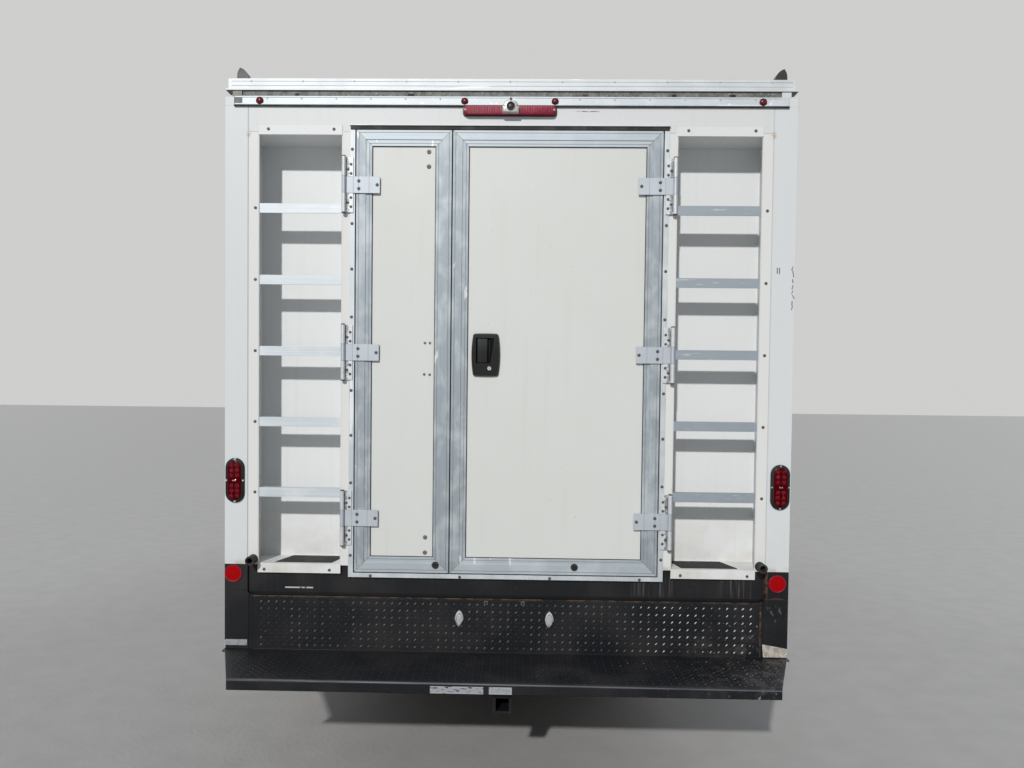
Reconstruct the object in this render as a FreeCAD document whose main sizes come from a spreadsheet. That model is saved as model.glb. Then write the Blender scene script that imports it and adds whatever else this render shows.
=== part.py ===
import FreeCAD, Part
import math
import os
import Sketcher
from FreeCAD import Placement, Rotation, Vector

# Box truck: a cutaway van chassis with a panelled box, twin rear doors and a ladder in each rear corner
# Frame: X to the kerb side, Y forward, Z up, in millimetres, with the origin on the ground under the middle
# Each driving dimension is a row of the sheet: alias, value, what it measures
SIZES = [
    ("body_width", 2390, "width over the box sides"),
    ("box_length", 3608, "length of the box from its rear face to its front face"),
    ("cab_length", 2400, "front bumper to the back of the cab"),
    ("cab_gap", 12, "seal between the cab and the box"),
    ("step_depth", 336, "how far the rear step stands behind the box"),
    ("front_overhang", 850, "front bumper to front axle"),
    ("wheelbase", 3530, "front axle to rear axle"),
    ("tyre_radius", 372, "outer radius of every tyre"),
    ("tyre_width", 225, "section width of every tyre"),
    ("rim_radius", 203, "bead seat radius of every rim"),
    ("rim_wall", 8, "thickness of the pressed rims"),
    ("front_track", 1740, "between the front tyre centres"),
    ("rear_track", 1860, "between the centres of the twin tyres"),
    ("twin_spacing", 270, "between the two tyres of a pair"),
    ("kingpin_inset", 70, "front tyre centre to the steering axis"),
    ("frame_width", 864, "over the two frame rails"),
    ("frame_top", 715, "top of the frame rails"),
    ("rail_depth", 165, "height of a frame rail"),
    ("rail_flange", 65, "width of a rail flange"),
    ("rail_wall", 7, "thickness of the frame steel"),
    ("floor_top", 832, "top of the box floor"),
    ("deck_depth", 35, "thickness of the box floor"),
    ("panel_base", 840, "where the white side panels end and the black skirts begin"),
    ("roof_base", 2775, "underside of the roof panel"),
    ("roof_depth", 37, "thickness of the roof panel"),
    ("wall", 30, "thickness of the box side walls"),
    ("face_depth", 40, "thickness of the rear frame"),
    ("front_wall", 60, "thickness of the box front wall"),
    ("front_corner", 50, "radius of the box front corners"),
    ("pass_width", 660, "width of the way through from the cab"),
    ("pass_top", 1880, "top of the way through from the cab"),
    ("post_width", 98, "width of a rear corner post"),
    ("skirt_base", 478, "bottom edge of the skirts"),
    ("skirt_rail", 34, "height of the bare rail under the skirts"),
    ("recess_outer", 1050, "centre line to the outer side of a ladder recess"),
    ("recess_width", 348, "width of the mouth of a ladder recess"),
    ("recess_flare", 41, "how much wider a recess is behind its mouth, to the outer side"),
    ("mouth_depth", 6, "depth of the mouth of a ladder recess"),
    ("recess_base", 846, "floor of a ladder recess"),
    ("recess_height", 1808, "height inside a ladder recess"),
    ("recess_depth", 163, "depth of a ladder recess"),
    ("recess_sheet", 3, "sheet thickness of a ladder recess"),
    ("lip_height", 40, "height of the lips above and below a recess"),
    ("rung_first", 303, "recess floor to the lowest rung"),
    ("rung_pitch", 300, "between rungs"),
    ("rung_height", 40, "height of a rung"),
    ("rung_depth", 28, "depth of a rung"),
    ("rung_wall", 4, "thickness of a rung"),
    ("jamb_half", 666, "centre line to the outer edge of the door surround"),
    ("jamb_width", 21, "width of the door surround beside the doors"),
    ("jamb_base", 792, "bottom of the door surround"),
    ("jamb_top", 2693, "top of the door surround"),
    ("jamb_proud", 4, "how far the surround and doors stand off the rear frame"),
    ("door_gap", 5, "gap round each rear door"),
    ("door_split", 237, "centre line to the split between the rear doors"),
    ("door_depth", 38, "thickness of the rear doors"),
    ("stile", 66, "width of the rear door edge extrusion"),
    ("stile_band", 40, "width of the raised band of that extrusion"),
    ("stop_lip", 18, "depth of the stop behind the rear doors"),
    ("hinge_mid", 1745, "height of the middle rear hinge"),
    ("hinge_pitch", 700, "between the rear hinges"),
    ("pin_offset", 690, "centre line to the rear hinge pins"),
    ("pin_proud", 16, "rear face to the rear hinge pins"),
    ("pin_radius", 5, "radius of the rear hinge pins"),
    ("knuckle_radius", 9, "outer radius of the rear hinge knuckles"),
    ("strap_height", 69, "height of a hinge strap"),
    ("strap_length", 150, "length of a hinge strap"),
    ("strap_wall", 6, "thickness of a hinge strap"),
    ("butt_height", 230, "height of a hinge butt"),
    ("bumper_top", 707, "top of the kick plate of the rear step"),
    ("tread_top", 476, "top of the rear step"),
    ("plate_wall", 5, "steel thickness of the rear step"),
    ("kick_half", 1077, "half width of the kick plate"),
    ("step_front", 1060, "half width of the outer edge of the step"),
    ("step_lip", 45, "height of the lip of the step"),
    ("rack_base", 2855, "underside of the roof bars"),
    ("bar_half", 1199, "half length of a roof bar"),
    ("bar_height", 52, "height of a roof bar"),
    ("bar_depth", 58, "depth of a roof bar along the truck"),
    ("stop_height", 45, "height of the black end stops"),
    ("stop_offset", 1138, "centre line to the end stops"),
    ("cab_half", 1005, "half width of the cab at the belt line"),
    ("cab_base", 430, "underside of the cab sills"),
    ("belt", 1240, "height of the cab belt line"),
    ("cab_roof", 2040, "top of the cab roof"),
    ("cab_wall", 34, "thickness of the cab panels and doors"),
    ("cowl", 812, "front bumper to the back of the hood"),
    ("hood_front", 1010, "height of the front edge of the hood"),
    ("arch_radius", 450, "radius of the front wheel arches"),
    ("rear_arch", 435, "radius of the rear wheel arches"),
    ("cab_door_front", 1330, "front bumper to the front edge of the cab doors"),
    ("cab_door_length", 920, "length of a cab door"),
    ("shut_line", 6, "gap round each cab door and the hood"),
    ("cab_floor", 780, "top of the cab floor"),
    ("glass", 6, "thickness of the cab glass"),
    ("rack_bars", 4, "number of roof bars"),
    ("rungs", 5, "number of rungs in a ladder recess"),
]


class Size:
    """A length that carries its number and the sheet formula it comes from."""

    def __init__(self, value, text):
        self.value = float(value)
        self.text = text

    def __add__(self, other):
        other = as_size(other)
        return Size(self.value + other.value, f"({self.text} + {other.text})")

    def __sub__(self, other):
        other = as_size(other)
        return Size(self.value - other.value, f"({self.text} - {other.text})")

    def __mul__(self, other):
        other = as_size(other)
        return Size(self.value * other.value, f"({self.text} * {other.text})")

    def __truediv__(self, other):
        other = as_size(other)
        return Size(self.value / other.value, f"({self.text} / {other.text})")

    def __neg__(self):
        return Size(-self.value, f"(0 - {self.text})")

    def __radd__(self, other):
        return as_size(other) + self

    def __rsub__(self, other):
        return as_size(other) - self

    def __rmul__(self, other):
        return as_size(other) * self


def as_size(number):
    """A plain number as a Size, or the Size itself."""
    if isinstance(number, Size):
        return number
    return Size(number, f"({float(number)!r})")


class Sheet:
    """The driving dimensions, each an attribute holding a Size."""

    def __init__(self, document, rows):
        cells = document.addObject("Spreadsheet::Sheet", "Dims")
        for index, (alias, value, note) in enumerate(rows, start=1):
            cells.set(f"A{index}", note)
            cells.set(f"B{index}", str(value))
            cells.setAlias(f"B{index}", alias)
            setattr(self, alias, Size(value, f"Dims.{alias}"))


doc = FreeCAD.newDocument("box_truck")
D = Sheet(doc, SIZES)
NODES = []
POCKETS = []
ZERO = as_size(0)

# Places along the truck
overall = D.cab_length + D.cab_gap + D.box_length + D.step_depth
front_end = overall / 2
rear_end = -front_end
face = rear_end + D.step_depth
box_front = face + D.box_length
cab_back = box_front + D.cab_gap
front_axle = front_end - D.front_overhang
rear_axle = front_axle - D.wheelbase
half_width = D.body_width / 2
recess_inner = D.recess_outer - D.recess_width
recess_top = D.recess_base + D.recess_height
frame_half = D.frame_width / 2
frame_base = D.frame_top - D.rail_depth
frame_rear = face + 60
frame_front = front_end - 190
sill_top = D.floor_top - D.deck_depth
jamb_back = face + D.door_depth + D.stop_lip
door_outer = D.jamb_half - D.jamb_width - D.door_gap
door_base = D.jamb_base + D.jamb_width + 2
door_top = D.jamb_top - D.jamb_width + 3
rack_top = D.rack_base + D.bar_height


# Modelling helpers
def bind(item, prop, size):
    """Ties one property to the sheet."""
    item.setExpression(prop, as_size(size).text)


def place(item, x=ZERO, y=ZERO, z=ZERO, turn=None):
    """Puts an object at a place that follows the sheet."""
    at = [as_size(v) for v in (x, y, z)]
    item.Placement = Placement(Vector(*[v.value for v in at]), turn or Rotation())
    for letter, v in zip("xyz", at):
        bind(item, f"Placement.Base.{letter}", v)
    return item


def box(name, x, y, z):
    """A Part box between two corners, each axis given as (low, high)."""
    item = doc.addObject("Part::Box", name)
    for prop, (low, high) in zip(("Length", "Width", "Height"), (x, y, z)):
        span = as_size(high) - low
        setattr(item, prop, span.value)
        bind(item, prop, span)
    return place(item, x[0], y[0], z[0])


AXIS_TURN = {
    "X": Rotation(Vector(0, 1, 0), 90),
    "Y": Rotation(Vector(1, 0, 0), -90),
    "Z": Rotation(),
}


def cylinder(name, radius, length, axis, x, y, z):
    """A Part cylinder that starts at a point and runs along one axis."""
    item = doc.addObject("Part::Cylinder", name)
    item.Radius = as_size(radius).value
    item.Height = as_size(length).value
    bind(item, "Radius", radius)
    bind(item, "Height", length)
    return place(item, x, y, z, AXIS_TURN[axis])


def fuse(name, items):
    """Several overlapping or touching solids as one."""
    item = doc.addObject("Part::MultiFuse", name)
    item.Shapes = items
    item.Refine = True
    return item


def group(name, items):
    """Several solids that don't touch, kept apart in one object."""
    item = doc.addObject("Part::Compound", name)
    item.Links = items
    return item


def cut(name, base, tools):
    """A base less one or more tools."""
    item = doc.addObject("Part::Cut", name)
    item.Base = base
    item.Tool = tools[0] if len(tools) == 1 else fuse(name + "_tools", tools)
    item.Refine = True
    return item


def common(name, first, second):
    """What two solids share."""
    item = doc.addObject("Part::Common", name)
    item.Base = first
    item.Tool = second
    item.Refine = True
    return item


def mirrored(name, item):
    """The same solid on the other side of the truck."""
    twin = doc.addObject("Part::Mirroring", name)
    twin.Source = item
    twin.Normal = Vector(1, 0, 0)
    return twin


def both_sides(name, item):
    """A solid and its mirror image as one object."""
    return group(name, [item, mirrored(name + "_other", item)])


def rounded(x, y, radius):
    """A rectangle with four round corners, as an outline."""
    (x0, x1), (y0, y1) = [[as_size(v) for v in pair] for pair in (x, y)]
    r = as_size(radius)
    return [
        (x0 + r, y0),
        (x1 - r, y0, r),
        (x1, y0 + r),
        (x1, y1 - r, r),
        (x1 - r, y1),
        (x0 + r, y1, r),
        (x0, y1 - r),
        (x0, y0 + r, r),
    ]


def oval(x, y, half_width_, half_height):
    """An upright slot outline, its ends each two quarter arcs."""
    x, y, r, b = [as_size(v) for v in (x, y, half_width_, half_height)]
    flat = b - r
    return [
        (x + r, y - flat),
        (x + r, y + flat, r),
        (x, y + b, r),
        (x - r, y + flat),
        (x - r, y - flat, r),
        (x, y - b, r),
    ]


def rectangle(x, y):
    """A plain rectangle outline."""
    return [(x[0], y[0]), (x[1], y[0]), (x[1], y[1]), (x[0], y[1])]


def arc_between(start, end, radius):
    """The short arc from start to end: anticlockwise if the radius is positive."""
    chord = end - start
    rise = math.sqrt(max(radius * radius - chord.Length**2 / 4, 0.0))
    side = Vector(-chord.y, chord.x, 0).normalize() * math.copysign(rise, radius)
    centre = (start + end) / 2 + side
    first, last = (start, end) if radius > 0 else (end, start)
    angles = [math.atan2(p.y - centre.y, p.x - centre.x) for p in (first, last)]
    circle = Part.Circle(centre, Vector(0, 0, 1), abs(radius))
    return Part.ArcOfCircle(circle, angles[0], angles[1])


class Hole:
    """A circle in a sketch."""

    def __init__(self, x, y, radius):
        self.x, self.y, self.radius = [as_size(v) for v in (x, y, radius)]


def draw_hole(sketch, hole):
    """Adds a circle, tied to the sheet."""
    centre = Vector(hole.x.value, hole.y.value, 0)
    circle = Part.Circle(centre, Vector(0, 0, 1), hole.radius.value)
    index = sketch.addGeometry(circle, False)
    limit(sketch, "DistanceX", (-1, 1, index, 3), hole.x)
    limit(sketch, "DistanceY", (-1, 1, index, 3), hole.y)
    limit(sketch, "Radius", (index,), hole.radius)


def limit(sketch, kind, where, size):
    """Adds one constraint whose value follows the sheet."""
    index = sketch.addConstraint(Sketcher.Constraint(kind, *where, size.value))
    name = f"c{index}"
    sketch.renameConstraint(index, name)
    bind(sketch, f"Constraints.{name}", size)


def draw_outline(sketch, points):
    """Adds a closed outline. A third number on a point makes the edge that leaves it an arc."""
    corners = [(as_size(p[0]), as_size(p[1])) for p in points]
    spots = [Vector(x.value, y.value, 0) for x, y in corners]
    radii = [as_size(p[2]) if len(p) > 2 else None for p in points]
    edges = []
    starts, ends = [], []
    for i, radius in enumerate(radii):
        start, end = spots[i], spots[(i + 1) % len(spots)]
        if radius is None:
            edges.append(Part.LineSegment(start, end))
        else:
            edges.append(arc_between(start, end, radius.value))
        forward = radius is None or radius.value > 0
        starts.append(1 if forward else 2)
        ends.append(2 if forward else 1)
    first = sketch.GeometryCount
    sketch.addGeometry(edges, False)
    count = len(points)
    for i in range(count):
        after = (i + 1) % count
        joint = (first + i, ends[i], first + after, starts[after])
        sketch.addConstraint(Sketcher.Constraint("Coincident", *joint))
    for i, (x, y) in enumerate(corners):
        limit(sketch, "DistanceX", (-1, 1, first + i, starts[i]), x)
        limit(sketch, "DistanceY", (-1, 1, first + i, starts[i]), y)
        if radii[i] is not None:
            size = radii[i] if radii[i].value > 0 else -radii[i]
            limit(sketch, "Radius", (first + i,), size)


def sketch_at(body, name, plane, level, outlines):
    """A sketch on one of the body's own planes, set off along that plane's normal."""
    sketch = body.newObject("Sketcher::SketchObject", name)
    role = next(f for f in body.Origin.OriginFeatures if f.Role == plane + "_Plane")
    sketch.AttachmentSupport = [(role, "")]
    sketch.MapMode = "FlatFace"
    offset = -as_size(level) if plane == "XZ" else as_size(level)
    sketch.AttachmentOffset = Placement(Vector(0, 0, offset.value), Rotation())
    bind(sketch, "AttachmentOffset.Base.z", offset)
    for outline in outlines:
        if isinstance(outline, Hole):
            draw_hole(sketch, outline)
        else:
            draw_outline(sketch, outline)
    return sketch


def pad(body, name, plane, outlines, low, high):
    """A pad of a sketch between two levels along the plane's axis."""
    level = high if plane == "XZ" else low
    feature = body.newObject("PartDesign::Pad", name)
    feature.Profile = sketch_at(body, name + "_sketch", plane, level, outlines)
    depth = as_size(high) - low
    feature.Length = depth.value
    bind(feature, "Length", depth)
    return feature


def pocket(body, name, plane, outlines, low, high):
    """A pocket of a sketch between two levels along the plane's axis."""
    level = low if plane == "XZ" else high
    feature = body.newObject("PartDesign::Pocket", name)
    feature.Profile = sketch_at(body, name + "_sketch", plane, level, outlines)
    depth = as_size(high) - low
    feature.Length = depth.value
    bind(feature, "Length", depth)
    POCKETS.append(feature)
    return feature


def prism(name, plane, outlines, low, high):
    """A body that is one padded outline, or several."""
    body = doc.addObject("PartDesign::Body", name)
    pad(body, name + "_pad", plane, outlines, low, high)
    return body


def turned(name, outline, centre):
    """A body turned about the wheel axis, from an outline of (sideways, radius) points."""
    body = doc.addObject("PartDesign::Body", name)
    spin = body.newObject("PartDesign::Revolution", name + "_turn")
    spin.Profile = sketch_at(body, name + "_sketch", "XZ", ZERO, [outline])
    spin.ReferenceAxis = (spin.Profile[0], ["H_Axis"])
    spin.Angle = 360
    place(body, *centre)
    return body


def loft(name, plane, sections):
    """A body lofted through outlines, each given as (level, outline)."""
    body = doc.addObject("PartDesign::Body", name)
    sketches = [
        sketch_at(body, f"{name}_{i}", plane, level, [outline])
        for i, (level, outline) in enumerate(sections)
    ]
    feature = body.newObject("PartDesign::AdditiveLoft", name + "_loft")
    feature.Profile = sketches[0]
    feature.Sections = sketches[1:]
    feature.Ruled = True
    return body


def node(item, label):
    """Names a finished sub-part, which gives its file its name."""
    item.Label = label
    NODES.append(item)
    return item


# Chassis
def frame_rails():
    """Two channel rails that open towards each other."""
    outer, wall = frame_half, D.rail_wall
    inner = outer - D.rail_flange
    channel = [
        (outer, frame_base),
        (outer, D.frame_top),
        (inner, D.frame_top),
        (inner, D.frame_top - wall),
        (outer - wall, D.frame_top - wall),
        (outer - wall, frame_base + wall),
        (inner, frame_base + wall),
        (inner, frame_base),
    ]
    rail = prism("frame_rail", "XZ", [channel], frame_rear, frame_front)
    return [rail, mirrored("frame_rail_other", rail)]


CROSS_PLACES = [
    ("cross_rear", frame_rear + 30),
    ("cross_hanger", rear_axle - 640),
    ("cross_axle", rear_axle + 640),
    ("cross_middle", rear_axle + 1500),
    ("cross_gearbox", front_axle - 1150),
    ("cross_front", frame_front - 110),
]
CROSS_WIDTH = 80
CROSS_DEPTH = 90


def chassis_frame():
    """Rails and the channels between them, each with its open side to the rear."""
    half = frame_half - D.rail_wall
    wall = D.rail_wall
    low = frame_base + D.rail_wall
    high = low + CROSS_DEPTH
    members = frame_rails()
    for name, start in CROSS_PLACES:
        end = start + CROSS_WIDTH
        channel = [
            (start, low),
            (end, low),
            (end, high),
            (start, high),
            (start, high - wall),
            (end - wall, high - wall),
            (end - wall, low + wall),
            (start, low + wall),
        ]
        members.append(prism(name, "YZ", [channel], -half, half))
    node(fuse("chassis_frame", members), "chassis_frame")


AXLE_TUBE = 45
SPRING_X = 530
LEAF = 10
LEAF_WIDTH = 64
LEAF_BEND = 2200
LEAVES = [700, 560, 400]


def rear_axle_node():
    """Axle tube, differential and the two spindles that the twin wheels turn on."""
    inner = D.rear_track / 2 - 20
    tube = cylinder("axle_tube", AXLE_TUBE, inner * 2, "X", -inner, rear_axle, D.tyre_radius)
    tip = D.rear_track / 2 + 62
    spindle = cylinder("axle_spindle", 36, tip * 2, "X", -tip, rear_axle, D.tyre_radius)
    case = cylinder("axle_case", 150, 110, "X", -55, rear_axle, D.tyre_radius)
    bell = cylinder("axle_bell", 110, 260, "X", -130, rear_axle, D.tyre_radius)
    nose = cylinder("axle_nose", 60, 210, "Y", ZERO, rear_axle, D.tyre_radius)
    pack = leaf_spring()
    springs = [pack, mirrored("spring_pack_other", pack)]
    node(fuse("rear_axle", [tube, spindle, case, bell, nose] + springs), "rear_axle")


def leaf_spring():
    """One leaf pack on the kerb side, with its seat on the axle and its two hangers on the frame."""
    seat = D.tyre_radius + AXLE_TUBE
    base = seat + 8
    x0 = SPRING_X - LEAF_WIDTH / 2
    parts = []
    for i, reach in enumerate(LEAVES[::-1]):
        inside = base + LEAF * i
        middle = inside + LEAF_BEND
        name = f"leaf_{i}"
        disc = cylinder(name + "_outer", LEAF_BEND, LEAF_WIDTH, "X", x0, rear_axle, middle)
        hole = cylinder(
            name + "_inner", LEAF_BEND - LEAF, LEAF_WIDTH, "X", x0, rear_axle, middle
        )
        ring = cut(name + "_ring", disc, [hole])
        window = box(
            name + "_window",
            (x0, x0 + LEAF_WIDTH),
            (rear_axle - reach, rear_axle + reach),
            (inside - 5, inside + 140),
        )
        parts.append(common(name, ring, window))
    pad_block = box(
        "spring_seat",
        (x0 - 4, x0 + LEAF_WIDTH + 4),
        (rear_axle - 60, rear_axle + 60),
        (seat - 12, base),
    )
    clamp = box(
        "spring_clamp",
        (x0 - 4, x0 + LEAF_WIDTH + 4),
        (rear_axle - 60, rear_axle + 60),
        (base + 22, base + 46),
    )
    bore = cylinder(
        "spring_bore", AXLE_TUBE, LEAF_WIDTH + 20, "X", x0 - 10, rear_axle, D.tyre_radius
    )
    seat_block = cut("spring_seat_cut", pad_block, [bore])
    hangers = []
    for name, middle in (("hanger_rear", -690), ("hanger_front", 690)):
        spot = rear_axle + middle
        hangers.append(
            box(
                name,
                (frame_half, x0 + LEAF_WIDTH),
                (spot - 32, spot + 32),
                (frame_base + 5, frame_base + 75),
            )
        )
    return fuse("spring_pack", parts + [seat_block, clamp] + hangers)


ARM_LOW = (217, 257)
ARM_HIGH = (487, 517)
KINGPIN_GAP = 0.3
ARM_END = 34


def suspension_arm(name, height, inner_half, x_inner):
    """A wishbone seen from above: wide at the frame, narrow at the ball joint."""
    tip = D.front_track / 2 - D.kingpin_inset
    outline = [
        (x_inner, front_axle - inner_half),
        (tip, front_axle - ARM_END, ARM_END * 1.0001),
        (tip + ARM_END, front_axle, ARM_END * 1.0001),
        (tip, front_axle + ARM_END),
        (x_inner, front_axle + inner_half),
    ]
    return prism(name, "XY", [outline], *height)


def front_suspension():
    """Crossmember, towers and both pairs of wishbones."""
    beam = box(
        "susp_beam", (-frame_half, frame_half), (front_axle - 90, front_axle + 90), (205, 300)
    )
    tower = box(
        "susp_tower",
        (frame_half - 70, frame_half),
        (front_axle - 110, front_axle + 110),
        (205, frame_base),
    )
    low = suspension_arm("susp_arm_low", ARM_LOW, 150, frame_half - 30)
    high = suspension_arm("susp_arm_high", ARM_HIGH, 100, frame_half - 30)
    side = [tower, low, high]
    other = [mirrored(item.Name + "_other", item) for item in side]
    node(fuse("front_suspension", [beam] + side + other), "front_suspension")


def knuckle(side, word):
    """Steering knuckle: an upright on the kingpin line with the spindle of the wheel."""
    pin_x = D.front_track / 2 - D.kingpin_inset
    low = ARM_LOW[1] + KINGPIN_GAP
    high = ARM_HIGH[0] - KINGPIN_GAP
    name = f"knuckle_{word}"
    post = cylinder(name + "_post", 28, high - low, "Z", side * pin_x, front_axle, low)
    reach = D.kingpin_inset + 62
    start = pin_x if side > 0 else -(pin_x + reach)
    spindle = cylinder(name + "_spindle", 30, reach, "X", start, front_axle, D.tyre_radius)
    arm = box(
        name + "_arm",
        (side * pin_x - 14, side * pin_x + 14),
        (front_axle - 150, front_axle),
        (290, 316),
    )
    node(fuse(name, [post, spindle, arm]), name)


def tyre_outline(shift, turn=1):
    """Half section of a tyre from bead to bead, about the wheel axis, shifted along that axis."""
    w = D.tyre_width / 2
    bead = w - 27
    low, top = D.rim_radius, D.tyre_radius
    flange = low + 19
    right = [
        (bead, low),
        (bead, flange, 90),
        (w, low + 82, 115),
        (w - 10, top - 24, 30),
        (w - 27, top),
    ]
    left = [(-right[-1][0], right[-1][1], 30), (-right[-2][0], right[-2][1], 115)]
    left += [(-right[-3][0], right[-3][1], 90), (-right[1][0], right[1][1]), (-bead, low)]
    return [(p[0] * turn + shift, *p[1:2], *[r * turn for r in p[2:]]) for p in right + left]


def barrel(shift_sign):
    """Points of a rim's outside from its back flange to its front flange."""
    edge = D.tyre_width / 2 - 27
    lip = edge + D.rim_wall
    low = D.rim_radius
    return [
        (-shift_sign * lip, low + 19),
        (-shift_sign * edge, low + 19),
        (-shift_sign * edge, low),
        (shift_sign * edge, low),
        (shift_sign * edge, low + 19),
        (shift_sign * lip, low + 19),
        (shift_sign * lip, low - D.rim_wall),
    ]


SPINDLE_BORE = 30.08
AXLE_BORE = 36.08


def add_hand_holes(body, name, ring, radius, x_low, x_high, count):
    """A ring of round holes through the disc, as a polar pattern of one pocket."""
    hole = pocket(body, name + "_hole", "YZ", [Hole(0, ring, radius)], x_low, x_high)
    doc.recompute()
    pattern = body.newObject("PartDesign::PolarPattern", name + "_ring")
    pattern.Originals = [hole]
    axis = next(f for f in body.Origin.OriginFeatures if f.Role == "X_Axis")
    pattern.Axis = (axis, [""])
    pattern.Angle = 360
    pattern.Occurrences = count
    body.Tip = pattern


def front_wheel(side, word):
    """A single front tyre and its rim, the disc near the outside."""
    centre = (side * D.front_track / 2, front_axle, D.tyre_radius)
    node(turned(f"tyre_front_{word}", tyre_outline(ZERO), centre), f"tyre_front_{word}")
    low = D.rim_radius - D.rim_wall
    wall = D.rim_wall
    disc = [
        (side * 66, low),
        (side * 84, as_size(130)),
        (side * 64, as_size(98)),
        (side * 64, as_size(SPINDLE_BORE)),
        (side * -26, as_size(SPINDLE_BORE)),
        (side * -26, as_size(150)),
        (side * -6, as_size(150)),
        (side * -6, as_size(70)),
        (side * 54, as_size(70)),
        (side * 54, as_size(100)),
        (side * 74, as_size(130)),
        (side * 56, low),
        (side * -(D.tyre_width / 2 - 27 + wall), low),
    ]
    outline = barrel(side) + disc
    name = f"rim_front_{word}"
    body = turned(name, outline, centre)
    holes = (52, 90) if side > 0 else (-90, -52)
    add_hand_holes(body, name, 152, 14, *holes, 8)
    node(body, name)


def rear_wheels(side, word):
    """Twin rear tyres and their two dished rims on one hub."""
    centre = (side * D.rear_track / 2, rear_axle, D.tyre_radius)
    gap = D.twin_spacing / 2
    tyres = [
        turned(f"tyre_rear_{word}_{k}", tyre_outline(k * gap), centre) for k in (-1, 1)
    ]
    node(group(f"tyres_rear_{word}", tyres), f"tyres_rear_{word}")
    low = D.rim_radius - D.rim_wall
    wall = D.rim_wall
    edge = D.tyre_width / 2 - 27
    rims = []
    for k in (-1, 1):
        disc = [
            (k * -70, low),
            (k * (wall - gap), as_size(130)),
            (k * (wall - gap), as_size(AXLE_BORE)),
            (k * -gap, as_size(AXLE_BORE)),
            (k * -gap, as_size(136)),
            (k * -(edge + wall), low - 6),
        ]
        outline = [(x + k * gap, y) for x, y in barrel(k) + disc]
        name = f"rim_rear_{word}_{'outer' if k == side else 'inner'}"
        body = turned(name, outline, centre)
        span = (6, 60) if k > 0 else (-60, -6)
        add_hand_holes(body, name, 158, 15, *span, 8)
        rims.append(body)
    drum = turned(
        f"drum_{word}",
        [
            (side * -wall, as_size(AXLE_BORE + 14)),
            (side * -wall, as_size(160)),
            (side * -100, as_size(165)),
            (side * -100, as_size(150)),
            (side * -20, as_size(146)),
            (side * -20, as_size(AXLE_BORE + 14)),
        ],
        centre,
    )
    hub = turned(
        f"hub_{word}",
        [
            (side * wall, as_size(AXLE_BORE)),
            (side * 70, as_size(AXLE_BORE)),
            (side * 70, as_size(52)),
            (side * 40, as_size(62)),
            (side * wall, as_size(66)),
        ],
        centre,
    )
    node(fuse(f"rims_rear_{word}", rims + [drum, hub]), f"rims_rear_{word}")


def powertrain():
    """Engine block on its mount, gearbox with propeller shaft, fuel tank and exhaust."""
    back = front_axle - 420
    block = box("engine", (-250, 250), (back, front_axle + 330), (345, 860))
    web = frame_half - D.rail_wall
    mount = box("engine_mount", (-web, web), (front_axle + 60, front_axle + 130), (565, 605))
    node(fuse("engine_block", [block, mount]), "engine_block")
    rear = front_axle - 1070
    gearbox = prism("gearbox", "YZ", [[(back, 360), (back, 700), (rear, 600), (rear, 340)]], -130, 130)
    start = rear_axle + 210
    shaft = cylinder("propshaft", 42, rear - start, "Y", ZERO, start, D.tyre_radius + 30)
    node(fuse("gearbox_and_shaft", [gearbox, shaft]), "gearbox_and_shaft")
    tank = prism(
        "fuel_tank",
        "XZ",
        [rounded((-350, -80), (frame_base - 150, frame_base + 40), 40)],
        rear_axle + 720,
        rear_axle + 1500,
    )
    node(tank, "fuel_tank")
    pipe_z = frame_base - 60
    hook = frame_base + D.rail_wall
    muffler = cylinder("muffler", 85, 520, "Y", 240, rear_axle + 830, pipe_z)
    inlet_start = rear_axle + 1350
    inlet = cylinder("exhaust_front", 30, back - inlet_start, "Y", 240, inlet_start, pipe_z)
    outlet = cylinder("exhaust_rear", 30, 2050, "Y", 240, rear_axle - 1220, pipe_z)
    straps = [
        box(f"exhaust_strap_{i}", (225, 255), (rear_axle + y, rear_axle + y + 20), (pipe_z, hook))
        for i, y in enumerate((-620, 1510))
    ]
    node(fuse("exhaust", [muffler, inlet, outlet] + straps), "exhaust")


# Box
def box_floor():
    """Deck on cross sills, the sills cut short over the rear wheels."""
    inner = half_width - D.wall
    parts = [
        box("deck", (-inner, inner), (jamb_back, box_front - D.front_wall), (sill_top, D.floor_top))
    ]
    first = jamb_back + 5
    pitch = (box_front - D.front_wall - 80 - first) / 8
    for i in range(9):
        start = first + pitch * i
        centre = start.value + 30
        clear = abs(centre - rear_axle.value) > D.tyre_radius.value + 60
        reach = inner if clear else as_size(640)
        parts.append(
            box(f"cross_sill_{i}", (-reach, reach), (start, start + 60), (D.frame_top, sill_top))
        )
    node(fuse("box_floor", parts), "box_floor")


def box_sides():
    """A flat side wall each side, between the rear frame and the front wall."""
    inside = half_width - D.wall
    for word, x in (("right", (inside, half_width)), ("left", (-half_width, -inside))):
        wall = box(
            f"box_side_{word}",
            x,
            (face + D.face_depth, box_front - D.front_wall),
            (D.panel_base, D.roof_base),
        )
        node(wall, f"box_side_{word}")


def box_roof():
    roof = prism(
        "box_roof",
        "XY",
        [rounded_front(half_width, face, box_front, D.front_corner)],
        D.roof_base,
        D.roof_base + D.roof_depth,
    )
    node(roof, "box_roof")


def rounded_front(half, back, front, radius):
    """A plan outline whose two front corners are round."""
    return [
        (-half, back),
        (half, back),
        (half, front - radius, radius),
        (half - radius, front),
        (radius - half, front, radius),
        (-half, front - radius),
    ]


def pass_outline():
    """The way through: a doorway with round upper corners."""
    half, top, r = D.pass_width / 2, D.pass_top, 60
    return [
        (-half, D.floor_top),
        (half, D.floor_top),
        (half, top - r, r),
        (half - r, top),
        (r - half, top, r),
        (-half, top - r),
    ]


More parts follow.
